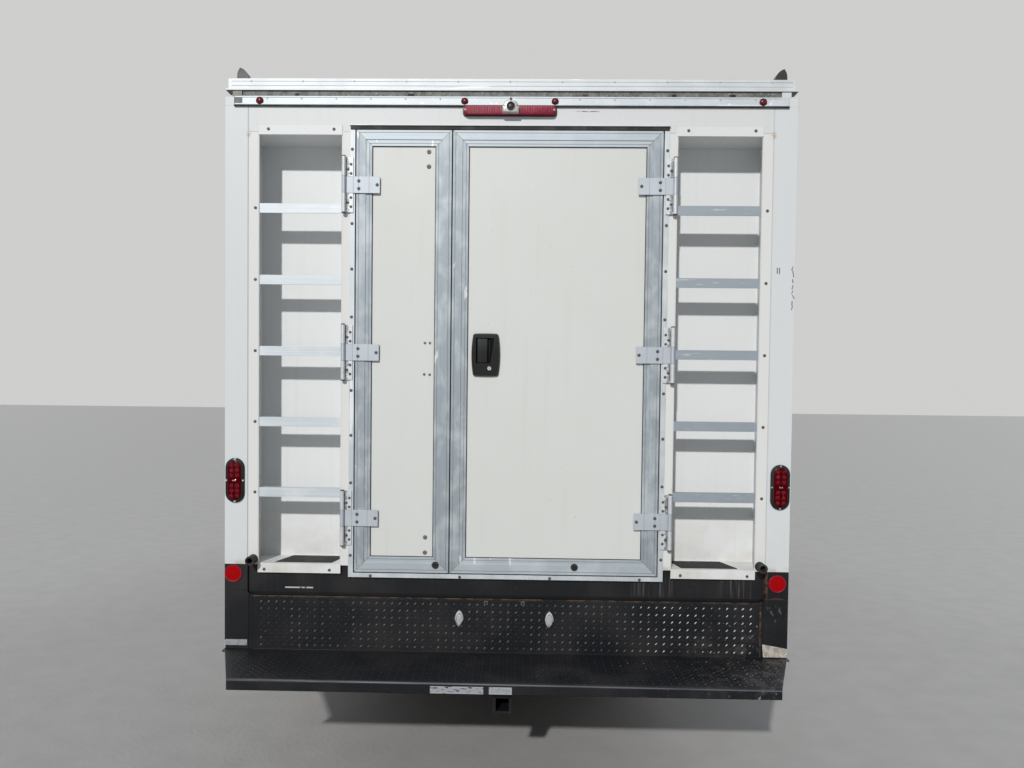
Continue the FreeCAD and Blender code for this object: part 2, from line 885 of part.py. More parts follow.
def box_front_wall():
    """Front wall with round corners and the way through from the cab."""
    body = doc.addObject("PartDesign::Body", "box_front_wall")
    back = box_front - D.front_wall
    pad(
        body,
        "front_wall_pad",
        "XY",
        [rounded_front(half_width, back, box_front, D.front_corner)],
        sill_top,
        D.roof_base,
    )
    pocket(body, "front_wall_pass", "XZ", [pass_outline()], back, box_front)
    node(body, "box_front_wall")


def body_rails():
    """Bare extrusions: top rails, rear header and the rails under the skirts."""
    top = D.roof_base + D.roof_depth
    low = D.roof_base - 20
    proud = 5
    side = box(
        "rail_side",
        (half_width, half_width + proud),
        (face + 12, box_front - D.front_corner),
        (low, top),
    )
    rear = box("rail_rear", (40 - half_width, half_width - 40), (face - 8, face), (D.roof_base, top))
    skirts = []
    for word, (y0, y1) in SKIRT_SPANS.items():
        skirts.append(
            box(
                f"rail_skirt_{word}",
                (half_width - D.wall, half_width),
                (y0, y1),
                (D.skirt_base, D.skirt_base + D.skirt_rail),
            )
        )
    right = [side] + skirts
    left = [mirrored(item.Name + "_other", item) for item in right]
    node(group("body_rails", right + left + [rear]), "body_rails")


rail_top = D.skirt_base + D.skirt_rail
SKIRT_SPANS = {
    "rear": (face, rear_axle - 426),
    "front": (rear_axle + 426, box_front - D.front_wall),
}


def lower_skirts():
    """Black skirts ahead of and behind the rear wheel, the lower corner posts and the rear apron."""
    arch = cylinder("skirt_arch", D.rear_arch, 400, "X", half_width - 300, rear_axle, D.tyre_radius)
    blank = box(
        "skirt_blank",
        (half_width - D.wall, half_width),
        (face, box_front - D.front_wall),
        (rail_top, D.panel_base),
    )
    skirt = cut("skirt", blank, [arch])
    post = box(
        "skirt_post",
        (half_width - D.post_width, half_width - D.wall),
        (face, face + D.face_depth),
        (rail_top, D.panel_base),
    )
    side = fuse("skirt_side", [skirt, post])
    reach = half_width - D.post_width
    low, high = D.bumper_top - 2, D.panel_base - 5
    sheet = [
        (-reach, low),
        (reach, low),
        (reach, high),
        (D.jamb_half, high),
        (D.jamb_half, D.jamb_base),
        (-D.jamb_half, D.jamb_base),
        (-D.jamb_half, high),
        (-reach, high),
    ]
    apron = prism("apron", "XZ", [sheet], face + 12, face + 18)
    other = mirrored("skirt_side_other", side)
    node(fuse("lower_skirts", [side, other, apron]), "lower_skirts")


def rear_frame():
    """White rear frame: header, corner posts and the strips beside the recesses, in one comb."""
    body = doc.addObject("PartDesign::Body", "rear_frame")
    outer = D.recess_outer + D.recess_sheet
    inner = recess_inner - D.recess_sheet
    top = recess_top + D.recess_sheet
    low, high = D.panel_base, D.roof_base
    right = [
        (D.jamb_half, D.jamb_top),
        (D.jamb_half, low),
        (inner, low),
        (inner, top),
        (outer, top),
        (outer, low),
        (half_width, low),
        (half_width, high),
    ]
    left = [(-x, z) for x, z in reversed(right)]
    pad(body, "rear_frame_pad", "XZ", [right + left], face, face + D.face_depth)
    seam = half_width - D.post_width
    grooves = [
        rectangle((s * seam - 1.5, s * seam + 1.5), (low, high)) for s in (-1, 1)
    ]
    pocket(body, "rear_frame_seams", "XZ", grooves, face, face + 2)
    wide = outer + D.recess_flare
    room = [(outer, low), (wide, low), (wide, top), (outer, top)]
    other = [(-x, z) for x, z in reversed(room)]
    pocket(body, "rear_frame_room", "XZ", [room, other], face + D.mouth_depth, face + D.face_depth)
    node(body, "rear_frame")


def ladder_recess(side, word):
    """A sheet metal well, wider behind its mouth, with a lip above and below the mouth."""
    sheet = D.recess_sheet
    name = f"recess_{word}"
    body = doc.addObject("PartDesign::Body", name)
    inner, outer = recess_inner, D.recess_outer
    wide = outer + D.recess_flare
    x_full = sorted([side * (inner - sheet), side * (outer + sheet)], key=lambda s: s.value)
    base, top = D.recess_base, recess_top
    mouth = face + D.mouth_depth
    back = face + D.recess_depth
    shell = [
        (inner - sheet, face),
        (outer + sheet, face),
        (outer + sheet, mouth),
        (wide + sheet, mouth),
        (wide + sheet, back + sheet),
        (inner - sheet, back + sheet),
    ]
    room = [
        (inner, face),
        (outer, face),
        (outer, mouth + sheet),
        (wide, mouth + sheet),
        (wide, back),
        (inner, back),
    ]
    if side < 0:
        shell = [(-x, y) for x, y in reversed(shell)]
        room = [(-x, y) for x, y in reversed(room)]
    pad(body, name + "_shell", "XY", [shell], base - sheet, top + sheet)
    pocket(body, name + "_room", "XY", [room], base, top)
    pad(
        body,
        name + "_lips",
        "XZ",
        [
            rectangle(x_full, (top, top + D.lip_height)),
            rectangle(x_full, (base - D.lip_height, base)),
        ],
        face - sheet,
        face,
    )
    return body


def ladder_recesses():
    wells = [ladder_recess(1, "right"), ladder_recess(-1, "left")]
    node(group("ladder_recesses", wells), "ladder_recesses")


def ladder_rungs():
    """Angle section rungs, flush with the mouth of each recess."""
    bars = []
    wall = D.rung_wall
    y0 = face + 3
    y1 = y0 + D.rung_depth
    for i in range(int(D.rungs.value)):
        middle = D.recess_base + D.rung_first + D.rung_pitch * i
        low = middle - D.rung_height / 2
        high = middle + D.rung_height / 2
        angle = [
            (y0, low),
            (y0 + wall, low),
            (y0 + wall, high - wall),
            (y1, high - wall),
            (y1, high),
            (y0, high),
        ]
        bar = prism(f"rung_{i}", "YZ", [angle], recess_inner, D.recess_outer)
        bars += [bar, mirrored(f"rung_{i}_other", bar)]
    node(group("ladder_rungs", bars), "ladder_rungs")


def door_jamb():
    """Bare surround of the doorway, with a stop lip behind the doors."""
    body = doc.addObject("PartDesign::Body", "door_jamb")
    proud = face - D.jamb_proud
    back = jamb_back
    outer = D.jamb_half
    pad(
        body,
        "jamb_pad",
        "XZ",
        [rectangle((-outer, outer), (D.jamb_base, D.jamb_top))],
        proud,
        back,
    )
    room = outer - D.jamb_width
    seat = door_depth_back
    pocket(
        body,
        "jamb_doorway",
        "XZ",
        [rectangle((-room, room), (door_base - D.door_gap, door_top + D.door_gap))],
        proud,
        seat,
    )
    inner = room - D.stop_lip
    pocket(
        body,
        "jamb_opening",
        "XZ",
        [rectangle((-inner, inner), (D.floor_top, door_top - D.stop_lip))],
        seat,
        back,
    )
    node(body, "door_jamb")


door_face = face - D.jamb_proud
door_depth_back = door_face + D.door_depth + D.door_gap


def strap(name, side, middle):
    """A hinge strap with its knuckle, drilled for the pin."""
    pin_x = side * D.pin_offset
    pin_y = face - D.pin_proud
    far = side * (D.pin_offset - D.strap_length)
    low = middle - D.strap_height / 2
    x = (far, pin_x) if side > 0 else (pin_x, far)
    plate = box(name + "_plate", x, (door_face - D.strap_wall, door_face), (low, low + D.strap_height))
    knuckle_ = cylinder(name + "_knuckle", D.knuckle_radius, D.strap_height, "Z", pin_x, pin_y, low)
    bore = cylinder(
        name + "_bore", D.pin_radius + 0.08, D.strap_height + 2, "Z", pin_x, pin_y, low - 1
    )
    return cut(name, fuse(name + "_blank", [plate, knuckle_]), [bore])


def rear_door(word, side, x_low, x_high):
    """A rear door: edge extrusion with a raised band, its straps, and the panel that it holds."""
    name = f"rear_door_{word}_frame"
    body = doc.addObject("PartDesign::Body", name + "_body")
    back = door_face + D.door_depth
    z = (door_base, door_top)
    inside = (
        (x_low + D.stile, x_high - D.stile),
        (door_base + D.stile, door_top - D.stile),
    )
    step = (
        (x_low + D.stile_band, x_high - D.stile_band),
        (door_base + D.stile_band, door_top - D.stile_band),
    )
    pad(body, name + "_pad", "XZ", [rectangle((x_low, x_high), z)], door_face, back)
    pocket(body, name + "_step", "XZ", [rectangle(*step)], door_face, door_face + 3)
    pocket(body, name + "_window", "XZ", [rectangle(*inside)], door_face, back)
    heights = [D.hinge_mid + D.hinge_pitch * k for k in (-1, 0, 1)]
    straps = [strap(f"strap_{word}_{i}", side, h) for i, h in enumerate(heights)]
    node(fuse(name, [body] + straps), name)
    panel = box(
        f"rear_door_{word}_panel", inside[0], (door_face + 7, door_face + 29), inside[1]
    )
    node(panel, f"rear_door_{word}_panel")


def rear_doors():
    half_gap = D.door_gap / 2
    rear_door("left", -1, -door_outer, -D.door_split - half_gap)
    rear_door("right", 1, half_gap - D.door_split, door_outer)


def hinge_butts():
    """Fixed halves of the six rear hinges, each two leaves on one pin."""
    pin_y = face - D.pin_proud
    butts = []
    for i, k in enumerate((-1, 0, 1)):
        middle = D.hinge_mid + D.hinge_pitch * k
        low = middle - D.butt_height / 2
        gap = D.strap_height / 2 + 1
        pieces = [
            cylinder(f"butt_{i}_pin", D.pin_radius, D.butt_height, "Z", D.pin_offset, pin_y, low)
        ]
        for j, (z0, z1) in enumerate(
            ((low, middle - gap), (middle + gap, low + D.butt_height))
        ):
            pieces.append(
                box(
                    f"butt_{i}_leaf_{j}",
                    (D.jamb_half - 14, D.pin_offset),
                    (door_face - 5, door_face),
                    (z0, z1),
                )
            )
            pieces.append(
                cylinder(
                    f"butt_{i}_knuckle_{j}", D.knuckle_radius, z1 - z0, "Z", D.pin_offset, pin_y, z0
                )
            )
        butt = fuse(f"butt_{i}", pieces)
        butts += [butt, mirrored(f"butt_{i}_other", butt)]
    node(group("hinge_butts", butts), "hinge_butts")


HANDLE_X = -90
HANDLE_Z = 1740


def rear_door_handle():
    """Paddle latch: a barrel-sided bezel, an upright paddle, the finger well beside it and a lock."""
    body = doc.addObject("PartDesign::Body", "door_handle")
    panel = door_face + 7
    side_bow, end_bow, corner = 480, 530, 9
    bezel = []
    for k in (-1, 1):
        bezel += [
            (HANDLE_X + k * 46, HANDLE_Z + k * 88, end_bow),
            (HANDLE_X - k * 46, HANDLE_Z + k * 88, corner),
            (HANDLE_X - k * 53, HANDLE_Z + k * 81, side_bow),
            (HANDLE_X - k * 53, HANDLE_Z - k * 81, corner),
        ]
    pad(body, "handle_bezel", "XZ", [bezel], panel - 18, panel)
    well = [
        (HANDLE_X - 41, HANDLE_Z - 35),
        (HANDLE_X + 20, HANDLE_Z - 35),
        (HANDLE_X + 36, HANDLE_Z + 70),
        (HANDLE_X - 41, HANDLE_Z + 70),
    ]
    pocket(body, "handle_well", "XZ", [well], panel - 18, panel - 4)
    paddle = rounded((HANDLE_X - 36, HANDLE_X + 8), (HANDLE_Z - 32, HANDLE_Z + 67), 4)
    pad(body, "handle_paddle", "XZ", [paddle], panel - 15, panel - 4)
    lock = Hole(HANDLE_X + 16, HANDLE_Z - 57, 9)
    pad(body, "handle_lock", "XZ", [lock], panel - 20, panel - 17)
    node(body, "rear_door_handle")


HOLD_X = 1072
HOLD_Z = 863
HOLD_LENGTH = 50


def door_holdbacks():
    """Rubber cups on the rear frame that catch the open doors."""
    cup = cylinder("holdback_cup", 20, HOLD_LENGTH, "Y", HOLD_X, face - HOLD_LENGTH, HOLD_Z)
    bore = cylinder("holdback_bore", 12, HOLD_LENGTH - 15, "Y", HOLD_X, face - HOLD_LENGTH, HOLD_Z)
    node(both_sides("door_holdbacks", cut("holdback", cup, [bore])), "door_holdbacks")


LAMP_X = 1150
LAMP_Z = 1198


def tail_lamps():
    """Oval stop lamps in their grommets on the corner posts."""
    body = doc.addObject("PartDesign::Body", "tail_lamp")
    pad(body, "lamp_grommet", "XZ", [oval(LAMP_X, LAMP_Z, 40, 95)], face - 8, face)
    pad(body, "lamp_lens", "XZ", [oval(LAMP_X, LAMP_Z, 29, 83)], face - 16, face - 8)
    node(both_sides("tail_lamps", body), "tail_lamps")


def marker_lamps():
    """Red lamps and reflectors of the rear face, and the bar lamp over the doors."""
    header = D.roof_base + 17
    clear = cylinder("marker_clearance", 11, 9, "Y", 1046, face - 17, header)
    ident = cylinder("marker_ident", 10, 9, "Y", 188, face - 17, header)
    reflector = cylinder("marker_reflector", 37, 6, "Y", 1151, face - 6, D.panel_base - 46)
    pairs = [clear, ident, reflector]
    others = [mirrored(item.Name + "_other", item) for item in pairs]
    bar = prism("brake_bar", "XZ", [rounded((-196, 196), (2732, 2774), 12)], face - 24, face)
    node(group("marker_lamps", pairs + others + [bar]), "marker_lamps")


def step_bumper():
    """Folded step: kick plate, tread and lip, its ends cut back, on two brackets."""
    body = doc.addObject("PartDesign::Body", "step_plate")
    t = D.plate_wall
    top = D.tread_top
    lip = top - D.step_lip
    plate = [
        (face + t, top - t),
        (face + t, D.bumper_top),
        (face, D.bumper_top),
        (face, top),
        (rear_end + 12, top, 12),
        (rear_end, top - 12),
        (rear_end, lip),
        (rear_end + t, lip),
        (rear_end + t, top - 12, -7),
        (rear_end + 12, top - t),
    ]
    pad(body, "step_pad", "YZ", [plate], -half_width, half_width)
    for k, word in ((-1, "left"), (1, "right")):
        corner = [
            (k * half_width, rear_end - 1),
            (k * D.step_front, rear_end - 1),
            (k * D.step_front, rear_end),
            (k * (half_width - 12), face - 30),
            (k * half_width, face - 30),
        ]
        pocket(body, f"step_corner_{word}", "XY", [corner], lip - 1, top + 1)
        side = sorted([k * D.kick_half, k * (half_width + 1)], key=lambda s: s.value)
        pocket(
            body,
            f"kick_end_{word}",
            "YZ",
            [rectangle((face - 1, face + t + 1), (top, D.bumper_top + 1))],
            *side,
        )
    brackets = [
        box(
            f"step_bracket_{word}",
            x,
            (face + t, frame_rear + 240),
            (frame_base + 20, D.bumper_top - 12),
        )
        for word, x in (("right", (frame_half, frame_half + 8)), ("left", (-8 - frame_half, -frame_half)))
    ]
    node(fuse("step_bumper", [body] + brackets), "step_bumper")


def hitch_receiver():
    """Square receiver tube under the step, on a cross tube hung from the frame."""
    z = 372
    tube = prism(
        "receiver",
        "XZ",
        [
            rounded((-32, 32), (z - 32, z + 32), 5),
            rounded((-25.5, 25.5), (z - 25.5, z + 25.5), 2),
        ],
        rear_end + 60,
        face + 240,
    )
    collar = prism(
        "receiver_collar",
        "XZ",
        [
            rounded((-38, 38), (z - 38, z + 38), 6),
            rounded((-25.5, 25.5), (z - 25.5, z + 25.5), 2),
        ],
        rear_end + 50,
        rear_end + 75,
    )
    cross = box(
        "receiver_cross", (-frame_half - 8, frame_half + 8), (face + 160, face + 225), (z + 32, z + 92)
    )
    ears = [
        box(f"receiver_ear_{word}", x, (face + 310, face + 470), (z + 32, frame_base + 80))
        for word, x in (("right", (frame_half, frame_half + 8)), ("left", (-8 - frame_half, -frame_half)))
    ]
    feet = [
        box(f"receiver_foot_{word}", x, (face + 160, face + 470), (z + 32, z + 92))
        for word, x in (("right", (frame_half, frame_half + 8)), ("left", (-8 - frame_half, -frame_half)))
    ]
    node(fuse("hitch_receiver", [tube, collar, cross] + ears + feet), "hitch_receiver")


def roof_rack():
    """Roof bars on feet, with black end stops that keep a ladder on."""
    roof = D.roof_base + D.roof_depth
    first = face + 40
    pitch = (D.box_length - 700) / (D.rack_bars - 1)
    bars, stops = [], []
    for i in range(int(D.rack_bars.value)):
        y0 = first + pitch * i
        y1 = y0 + D.bar_depth
        bar = box(
            f"bar_{i}", (-D.bar_half, D.bar_half), (y0 + 6, y1 - 6), (D.rack_base + 7, rack_top - 1)
        )
        rest = D.stop_offset - 30
        pad_top = box(f"bar_top_{i}", (-rest, rest), (y0 + 6, y1 - 6), (rack_top - 1, rack_top))
        reach = D.bar_half + 9
        flange = box(f"bar_flange_{i}", (-reach, reach), (y0, y1), (D.rack_base, D.rack_base + 7))
        feet = [
            box(f"bar_foot_{i}_{k}", x, (y0 + 4, y1 - 4), (roof, D.rack_base))
            for k, x in enumerate(((half_width - 55, half_width - 15), (15 - half_width, 55 - half_width)))
        ]
        bars.append(fuse(f"roof_bar_{i}", [bar, pad_top, flange] + feet))
        fin = [
            (D.stop_offset + 24, rack_top - 1, 60),
            (D.stop_offset + 12, rack_top + D.stop_height, 50),
            (D.stop_offset - 25, rack_top - 1),
        ]
        stop = prism(f"stop_{i}", "XZ", [fin], y0 + 8, y1 - 8)
        stops += [stop, mirrored(f"stop_{i}_other", stop)]
    node(group("roof_bars", bars), "roof_bars")
    node(group("rack_stops", stops), "rack_stops")


# Cab
def cab_y(distance):
    """A place given by its distance behind the front bumper."""
    return front_end - distance


NOSE = [
    (90, 115, -80, 60),
    (130, 80, -38, 80),
    (200, 50, -5, 85),
    (330, 23, 30, 85),
    (520, 7, 75, 80),
    (870, 0, 170, 75),
]
ROOF = [
    (0, 0, 170, 120),
    (80, 85, 205, 120),
    (130, 180, 260, 120),
    (152, 280, 325, 120),
    (160, 410, 405, 120),
]
SCREEN_TOP = 1440
SCREEN_SLOPE = 0.8654


def lower_section(half, top, base, corner):
    """Cross section of the lower cab, with round upper corners."""
    return [
        (-half, base),
        (half, base),
        (half, top - corner, corner),
        (half - corner, top),
        (corner - half, top, corner),
        (-half, top - corner),
    ]


def lower_cab(name, inset):
    """The nose and waist of the cab, lofted along the truck."""
    stations = [(cab_y(s + inset * (s == 90)), D.cab_half - k, D.hood_front + up, r) for s, k, up, r in NOSE]
    stations.append((cab_y(1150), D.cab_half, D.belt - 15, 70))
    stations.append((cab_back + inset, D.cab_half, D.belt, 70))
    sections = [
        (spot, lower_section(half - inset, top - inset, D.cab_base - inset, r - inset))
        for spot, half, top, r in stations
    ]
    return loft(name, "XZ", sections)


def upper_cab(name, inset):
    """The greenhouse, lofted upwards through plans with round front corners."""
    shoulder = D.cab_roof - 160
    stages = []
    for z, half, corner in ((D.belt - 120, D.cab_half - 8, 135), (D.belt + 60, D.cab_half - 30, 130)):
        front = cab_y(SCREEN_TOP) + (shoulder - z) * SCREEN_SLOPE
        stages.append((z, front, half, corner))
    for up, back, narrow, corner in ROOF:
        stages.append((shoulder + up, cab_y(SCREEN_TOP + back), D.cab_half - narrow, corner))
    sections = []
    for i, (z, front, half, corner) in enumerate(stages):
        level = z - inset if i == len(stages) - 1 else z
        outline = rounded_front(half - inset, cab_back + inset, front - inset, corner - inset)
        sections.append((level, outline))
    return loft(name, "XY", sections)


def cab_body(name, inset):
    return fuse(name, [lower_cab(name + "_lower", inset), upper_cab(name + "_upper", inset)])


def side_prism(name, outline, low, high):
    """A prism across the cab from an outline of (distance, height) points."""
    points = [(cab_y(p[0]), *p[1:]) for p in outline]
    return prism(name, "YZ", [points], low, high)


def grown(outline, gap):
    """A door outline moved outwards by the shut line."""
    (x0, z0), (_, z1), (x2, z2), (x3, _) = outline[0], outline[1], outline[2], outline[3]
    return [
        (x0 - gap, z0 - gap),
        (x0 - gap, z1),
        (x2 - gap, z2 + gap),
        (x3 + gap, z2 + gap),
        (x3 + gap, z0 - gap),
    ]


SILL = 500
DOOR_HEAD = 1872
HOOD_HALF = 760
HOOD_LIP = 935
HOOD_SEAT = 0.3
FENDER_TOP = 1130
BUMPER_LINE = 645
HINGE_LEVELS = (660, 1040)


def door_outline():
    front = D.cab_door_front
    back = front + D.cab_door_length
    return [
        (front, SILL),
        (front, D.belt + 50),
        (front + 272, DOOR_HEAD),
        (back, DOOR_HEAD),
        (back, SILL),
    ]


def window_outline():
    front = D.cab_door_front + 68
    back = D.cab_door_front + D.cab_door_length - 58
    low = D.belt + 56
    return [(front, low), (front + 245, DOOR_HEAD - 42), (back, DOOR_HEAD - 42), (back, low)]


def windscreen_outline():
    return [(-830, 1222), (830, 1222), (690, 1850), (-690, 1850)]


def cab():
    """Splits one hollow cab into shell, doors, hood, fenders and glass."""
    gap = D.shut_line
    outer = cab_body("cab_outer", 0)
    inner = cab_body("cab_inner", D.cab_wall.value)
    skin = cut("cab_skin", outer, [inner])
    sheet = cut(
        "glass_sheet", upper_cab("glass_outer", 8), [upper_cab("glass_inner", 8 + D.glass.value)]
    )
    hood_back = D.cowl - gap
    hood_zone = box(
        "hood_zone", (-HOOD_HALF, HOOD_HALF), (cab_y(hood_back), front_end), (HOOD_LIP, 1400)
    )
    hood_hole = box(
        "hood_hole",
        (-HOOD_HALF - gap, HOOD_HALF + gap),
        (cab_y(D.cowl), front_end),
        (HOOD_LIP - gap, 1400),
    )
    node(common("hood", skin, hood_zone), "hood")
    edge = D.cab_door_front - gap
    fender_outline = [
        (50, BUMPER_LINE),
        (D.front_overhang, BUMPER_LINE),
        (D.front_overhang, 300),
        (edge, 300),
        (edge, FENDER_TOP),
        (D.cowl + 30, FENDER_TOP),
        (D.cowl, 1400),
        (50, 1400),
    ]
    fender_zone = side_prism("fender_zone", fender_outline, -1400, 1400)
    low_front = side_prism(
        "low_front",
        [(40, 300), (D.front_overhang, 300), (D.front_overhang, BUMPER_LINE), (40, BUMPER_LINE)],
        -1400,
        1400,
    )
    arch = cylinder("cab_arch", D.arch_radius, 2800, "X", -1400, front_axle, D.tyre_radius)
    notches = [
        box(
            f"hinge_notch_{i}",
            (D.cab_half - 60, D.cab_half + 20),
            (cab_y(edge), cab_y(edge - 9)),
            (z - 5, z + 75),
        )
        for i, z in enumerate(HINGE_LEVELS)
    ]
    notches += [mirrored(item.Name + "_other", item) for item in notches]
    grille_hole = box("grille_hole", (-560, 560), (cab_y(140), front_end), (690, 890))
    lamp_hole = box("lamp_hole", (600, 850), (cab_y(140), front_end), (700, 880))
    lamp_hole_other = mirrored("lamp_hole_other", lamp_hole)
    fenders = common("fenders_raw", skin, fender_zone)
    holes = [hood_hole, arch, grille_hole, lamp_hole, lamp_hole_other] + notches
    stop = cylinder("hood_stop", 15, gap - HOOD_SEAT, "Z", 480, cab_y(107), HOOD_LIP - gap)
    stops = [stop, mirrored("hood_stop_other", stop)]
    node(fuse("front_fenders", [cut("fenders_cut", fenders, holes)] + stops), "front_fenders")
    screen_hole = prism("screen_hole", "XZ", [windscreen_outline()], cab_y(1500), cab_y(700))
    node(common("windscreen", sheet, screen_hole), "windscreen")
    pass_half = D.pass_width / 2
    pass_hole = box(
        "pass_hole",
        (-pass_half, pass_half),
        (cab_back - 20, cab_back + D.cab_wall + 20),
        (D.floor_top, D.pass_top),
    )
    frame_hole = box(
        "frame_hole",
        (-600, 600),
        (cab_back - 20, cab_back + D.cab_wall + 20),
        (D.cab_base - 40, D.cab_floor - 24),
    )
    door_holes = []
    for side, word in ((1, "right"), (-1, "left")):
        reach = (100, 1400) if side > 0 else (-1400, -100)
        hole = side_prism(f"door_hole_{word}", grown(door_outline(), gap), *reach)
        door_holes.append(hole)
        zone = side_prism(f"door_zone_{word}", door_outline(), *reach)
        window = side_prism(f"window_{word}", window_outline(), *reach)
        name = f"cab_door_{word}"
        blank = cut(name + "_skin", common(name + "_blank", skin, zone), [window])
        barrels = [
            cylinder(f"hinge_barrel_{word}_{i}", 8, 70, "Z", side * (D.cab_half + 2), cab_y(edge + 3), z)
            for i, z in enumerate(HINGE_LEVELS)
        ]
        node(fuse(name, [blank] + barrels + mirror_parts(side, word)), name)
        glass = common(f"door_glass_{word}", sheet, window)
        node(glass, f"door_glass_{word}")
    seal = cab_seal()
    holes = [fender_zone, hood_hole, low_front, arch, screen_hole, pass_hole, frame_hole]
    shell = cut("cab_shell_skin", skin, holes + door_holes)
    node(fuse("cab_shell", [shell, seal]), "cab_shell")


def cab_seal():
    """Bellows frame round the way through, from the cab to the box."""
    body = doc.addObject("PartDesign::Body", "cab_seal")
    half = D.pass_width / 2 + 40
    ring = rectangle((-half, half), (D.floor_top - 32, D.pass_top + 40))
    pad(body, "seal_pad", "XZ", [ring], box_front, cab_back)
    pocket(body, "seal_room", "XZ", [pass_outline()], box_front, cab_back)
    return body


def mirror_parts(side, word):
    """Door mirror: two arms and a head, on the front of the door."""
    y = cab_y(D.cab_door_front + 60)
    x0 = D.cab_half - 6
    arms = []
    for i, z in enumerate((1180, 1310)):
        start = x0 if i == 0 else as_size(955)
        x = (start, as_size(1190)) if side > 0 else (as_size(-1190), -start)
        arms.append(box(f"mirror_arm_{word}_{i}", x, (y - 10, y + 10), (z, z + 20)))
    x = (1130, 1290) if side > 0 else (-1290, -1130)
    head = box(f"mirror_head_{word}", x, (y - 30, y + 30), (1150, 1550))
    return arms + [head]


def cab_floor():
    """Floor on its mounts, with step wells, bulkhead and engine cover."""
    top = D.cab_floor
    low = top - 24
    inner = D.cab_half - D.cab_wall
    back = cab_back + D.cab_wall
    well_back = D.cab_door_front + 520
    main = box("floor_main", (-720, 720), (back, cab_y(846)), (low, top))
    rear = box("floor_rear", (-inner, inner), (back, cab_y(well_back)), (low, top))
    bulkhead = box("bulkhead", (-720, 720), (cab_y(860), cab_y(846)), (low, 1090))
    cover = box("engine_cover", (-310, 310), (cab_y(1320), cab_y(846)), (low, 1000))
    room = box("engine_room", (-290, 290), (cab_y(1300), cab_y(800)), (low - 10, 980))
    blank = fuse("floor_blank", [main, rear, bulkhead, cover])
    floor = cut("floor_cut", blank, [room])
    pieces = [floor]
    for side, word in ((1, "right"), (-1, "left")):
        riser = (700, 724) if side > 0 else (-724, -700)
        tread = (700, inner) if side > 0 else (-inner, -700)
        span = (cab_y(well_back), cab_y(D.cab_door_front - 6))
        pieces.append(box(f"well_riser_{word}", riser, span, (440, low)))
        pieces.append(box(f"well_tread_{word}", tread, span, (440, 464)))
        rear_wall = (cab_y(well_back) - 24, cab_y(well_back))
        pieces.append(box(f"well_rear_{word}", tread, rear_wall, (440, low)))
    for i, distance in enumerate((930, 1650, 2300)):
        y = cab_y(distance)
        mount = box(f"cab_mount_{i}", (frame_half - 62, frame_half), (y - 30, y + 30), (D.frame_top, low))
        pieces += [mount, mirrored(f"cab_mount_{i}_other", mount)]
    node(fuse("cab_floor", pieces), "cab_floor")


def seats():
    """Driver and passenger seats on their pedestals."""
    low = D.cab_floor
    cushion = [(1560, 1060), (2060, 1030), (2060, 1180), (1560, 1180)]
    back = [(2000, 1120), (2120, 1100), (2230, 1760), (2150, 1780)]
    pieces = [
        side_prism("seat_cushion", cushion, 290, 790),
        side_prism("seat_back", back, 300, 780),
        side_prism("seat_base", [(1620, low), (2040, low), (2040, 1060), (1620, 1070)], 350, 730),
    ]
    node(both_sides("seats", fuse("seat", pieces)), "seats")


WHEEL_X = -430


def dashboard():
    """Instrument panel with the steering column and wheel."""
    reach = D.cab_half - D.cab_wall - 34
    outline = [(860, 1000), (1090, 1000), (1150, 1120), (1110, 1170), (920, 1150), (860, 1110)]
    panel = side_prism("dash_panel", outline, -reach, reach)
    tilt = Rotation(Vector(1, 0, 0), 58)
    column = doc.addObject("Part::Cylinder", "steering_column")
    column.Radius = 26
    column.Height = 320
    place(column, as_size(WHEEL_X), cab_y(1400) + 271, as_size(1040), tilt)
    ring = doc.addObject("Part::Torus", "steering_ring")
    ring.Radius1 = 190
    ring.Radius2 = 14
    place(ring, as_size(WHEEL_X), cab_y(1400), as_size(1210), tilt)
    across = (WHEEL_X - 190, WHEEL_X + 190)
    spoke = box("steering_spoke", across, (cab_y(1400) - 12, cab_y(1400) + 12), (1202, 1218))
    node(fuse("dashboard", [panel, column, ring, spoke]), "dashboard")


def cab_front():
    """Grille, headlamps and front bumper."""
    body = doc.addObject("PartDesign::Body", "grille")
    front, back = cab_y(96), cab_y(118)
    pad(body, "grille_pad", "XZ", [rectangle((-560, 560), (690, 890))], back, front)
    rows = [rectangle((-530, 530), (712 + 42 * i, 742 + 42 * i)) for i in range(4)]
    pocket(body, "grille_rows", "XZ", rows, back, front)
    node(body, "grille")
    lamp = box("headlamp", (600, 850), (cab_y(124), cab_y(94)), (700, 880))
    node(both_sides("headlamps", lamp), "headlamps")
    body = doc.addObject("PartDesign::Body", "bumper_shell")
    pad(body, "bumper_pad", "XY", [rounded_front(as_size(1000), cab_y(380), front_end, 170)], 440, 640)
    pocket(
        body,
        "bumper_room",
        "XY",
        [rounded_front(as_size(975), cab_y(381), front_end - 25, 145)],
        440,
        640,
    )
    horns = [
        box(f"bumper_horn_{word}", x, (frame_front, front_end - 20), (frame_base + 10, 638))
        for word, x in (("right", (frame_half - 60, frame_half)), ("left", (-frame_half, 60 - frame_half)))
    ]
    node(fuse("front_bumper", [body] + horns), "front_bumper")


BUILDERS = [
    chassis_frame,
    rear_axle_node,
    front_suspension,
    powertrain,
    box_floor,
    box_sides,
    box_roof,
    box_front_wall,
    body_rails,
    lower_skirts,
    rear_frame,
    ladder_recesses,
    ladder_rungs,
    door_jamb,
    rear_doors,
    hinge_butts,
    rear_door_handle,
    door_holdbacks,
    tail_lamps,
    marker_lamps,
    step_bumper,
    hitch_receiver,
    roof_rack,
    cab,
    cab_floor,
    seats,
    dashboard,
    cab_front,
]


def build():
    for side, word in ((1, "right"), (-1, "left")):
        knuckle(side, word)
        front_wheel(side, word)
        rear_wheels(side, word)
    for builder in BUILDERS:
        builder()
    doc.recompute()


